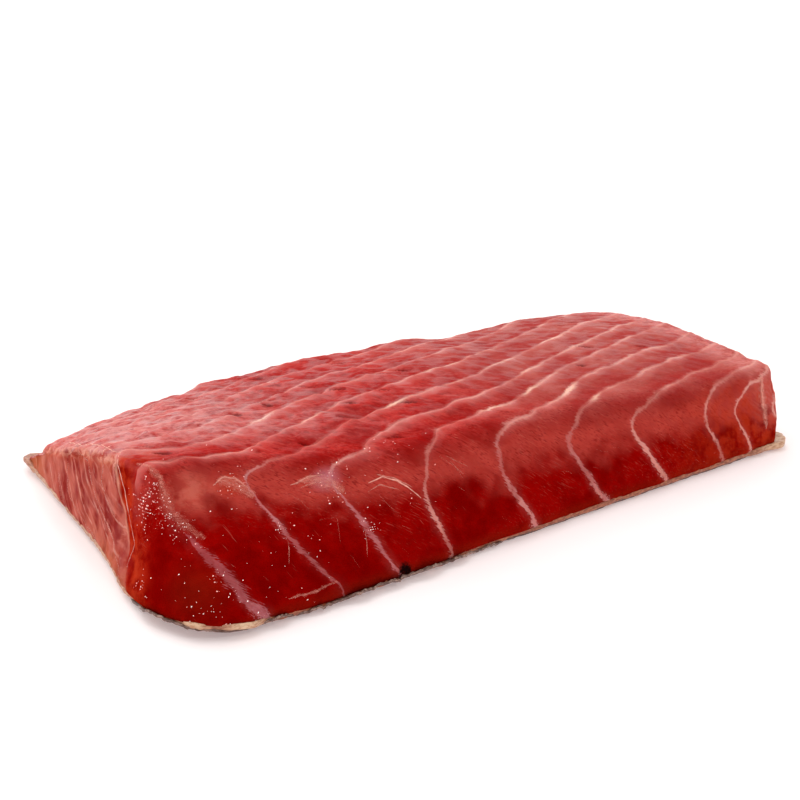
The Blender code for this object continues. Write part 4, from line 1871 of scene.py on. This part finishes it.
# %% [markdown]
# Tissue has no sharp outline. Its edge is feathered by letting it turn see-through, unevenly
# and along the fibres, so that it seems to grow out of the muscle.

# %% Finish of the strips
STRIP_THIN = (0.80, 0.17, 0.12, 1.0)
STRIP_THICK = (1.0, 0.52, 0.42, 1.0)


def strip_finish():
    """Moist tissue that thins out to nothing at its feathered edges."""
    material, finish = new_material("seam_tissue")
    uneven = finish.noise(finish.grain((1.8, 1.8, 1.8)), detail=3.0, roughness=0.6)
    feather = finish.noise(finish.grain((3.0, 0.4, 0.4), FIBRE_TURN), detail=2.0)
    cover = finish.field("cover")
    finish.surface({
        "Base Color": finish.blend(STRIP_THIN, STRIP_THICK, cover * (0.5 + uneven)),
        "Roughness": 0.30 + 0.2 * uneven,
        "Specular IOR Level": 0.1,
        "Alpha": (cover * (0.4 + 0.9 * uneven) + 0.5 * (feather - 0.5)).rise(0.06, 0.85),
        "Normal": finish.bump(0.15 * uneven),
    })
    return material


strips.data.materials.append(strip_finish())
print("strip finish has", len(strips.data.materials[0].node_tree.nodes), "nodes")

# %% [markdown]
# ## Beads of moisture
#
# Cut flesh weeps. Tiny beads stand on the front left of the slab and along the thick seams, and each
# one carries a painted glint: a pale colour that glows, standing in for a white spark of light. They
# are real little domes, joined into one piece, because a round surface finds a lamp from any side.
# First come the places where they stand.

# %% Places of the beads
BEAD_COUNT = 420
# Where beads gather, in mm, how far they spread there, and how thickly they stand.
WET_PLACES = (
    (-158.0, -44.0, 38.0, 6.0, 1.00),
    (-154.0, -58.0, 33.0, 4.0, 1.00),
    (-150.0, -66.0, 29.0, 3.0, 0.50),
    (-165.0, -55.0, 9.0, 4.0, 0.60),
    (-128.0, -51.0, 40.0, 5.0, 0.50),
    (-113.0, -70.0, 25.0, 5.0, 0.35),
    (-106.0, -77.0, 20.0, 4.0, 0.35),
    (-90.0, -61.0, 37.0, 6.0, 0.40),
    (-81.0, -77.0, 22.0, 4.0, 0.30),
    (-150.0, -82.0, 14.0, 9.0, 0.16),
    (-130.0, -75.0, 20.0, 26.0, 0.04),
    (-60.0, -66.0, 40.0, 14.0, 0.04),
)


def bead_places():
    """The flesh points where beads stand, likelier where it is wet, and the chance used."""
    chance = np.random.default_rng(17)
    likely = np.zeros(len(flesh_points))
    for x, y, z, reach, crowd in WET_PLACES:
        away = np.linalg.norm(flesh_points - np.array([x, y, z]), axis=1)
        likely += crowd * np.exp(-((away / reach) ** 2))
    likely *= (1.0 - zones["end"]) * (0.15 + ease_over((0.0, 0.6), rough(flesh_points / 3.0, 301)))
    share = likely / likely.sum()
    return chance.choice(len(likely), BEAD_COUNT, replace=False, p=share), chance


print("beads gather at", len(WET_PLACES), "places")

# %% [markdown]
# Each bead is a low dome of three rings and a peak, drawn out a little along a chance
# direction. Its lowest ring sinks into the flesh, so that no gap shows under it.

# %% Shape of the beads
BEAD_RADIUS = (0.10, 0.38)
BEAD_SIDES = 8
BEAD_RINGS = 3
BEAD_SINK = 0.25
BEAD_HEIGHT = 0.5


def bead_points(spot, chance):
    """Points of one dome: rings that close in upwards, then its peak and its foot."""
    radius = mix(*BEAD_RADIUS, chance.random() ** 2)
    up = Vector(flesh_normals[spot])
    turn = Vector((cos(chance.normal(0.6, 0.7)), 0.0, sin(chance.normal(0.6, 0.7))))
    aside = (turn - up * turn.dot(up)).normalized()
    forth = up.cross(aside) * chance.uniform(0.25, 0.6)
    centre = Vector(flesh_shaped[spot])
    points = []
    for ring in range(BEAD_RINGS):
        tilt = -BEAD_SINK + (pi / 2.0 + BEAD_SINK) * ring / BEAD_RINGS
        for side in range(BEAD_SIDES):
            angle = 2.0 * pi * side / BEAD_SIDES
            flat = aside * cos(angle) + forth * sin(angle)
            points.append(centre + radius * (flat * cos(tilt) + BEAD_HEIGHT * up * sin(tilt)))
    return points + [centre + radius * BEAD_HEIGHT * up, centre - radius * BEAD_HEIGHT * up]


def bead_faces(first):
    """Faces of one dome whose points are counted from first."""
    rings = [range(first + ring * BEAD_SIDES, first + (ring + 1) * BEAD_SIDES)
             for ring in range(BEAD_RINGS)]
    peak = first + BEAD_RINGS * BEAD_SIDES
    foot = peak + 1
    faces = []
    for lower, upper in zip(rings, rings[1:]):
        faces += quads_between(lower, upper)
    for side in range(BEAD_SIDES):
        following = (side + 1) % BEAD_SIDES
        faces.append((rings[-1][side], rings[-1][following], peak))
        faces.append((rings[0][following], rings[0][side], foot))
    return faces


def make_beads():
    """Small domes that sit on the flesh."""
    chosen, chance = bead_places()
    points, faces = [], []
    for spot in chosen:
        faces += bead_faces(len(points))
        points += bead_points(spot, chance)
    beads = build_mesh("moisture_beads", np.array(points), faces)
    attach(beads, "root")
    return beads


beads = make_beads()
print("beads:", BEAD_COUNT)

# %% [markdown]
# A bead is almost a mirror. Its pale colour and its glow are a painted glint: it glows though it is no
# lamp, so that it looks brighter than the flesh it stands on, like a spark of light.

# %% Finish of the beads
# Colours of the painted glints, and the glow that paints them as sparks of light.
BEAD_RED = (0.85, 0.42, 0.38, 1.0)
BEAD_GLINT_WHITE = (1.0, 0.93, 0.90, 1.0)
BEAD_PAINTED_GLINT_GLOW = 0.75


def painted_glint_finish():
    """Painted glints: clear, slightly red moisture with a mirror-like surface, painted pale and
    glowing.
    """
    material, finish = new_material("painted_glint_moisture")
    tint = finish.noise(finish.grain((4.0, 4.0, 4.0)))
    color = finish.blend(BEAD_RED, BEAD_GLINT_WHITE, tint.rise(0.40, 0.55))
    finish.surface({
        "Base Color": color,
        "Roughness": 0.04 + 0.05 * tint,
        "Emission Color": color,
        "Emission Strength": BEAD_PAINTED_GLINT_GLOW,
    })
    return material


beads.data.materials.append(painted_glint_finish())
print("bead finish has", len(beads.data.materials[0].node_tree.nodes), "nodes")
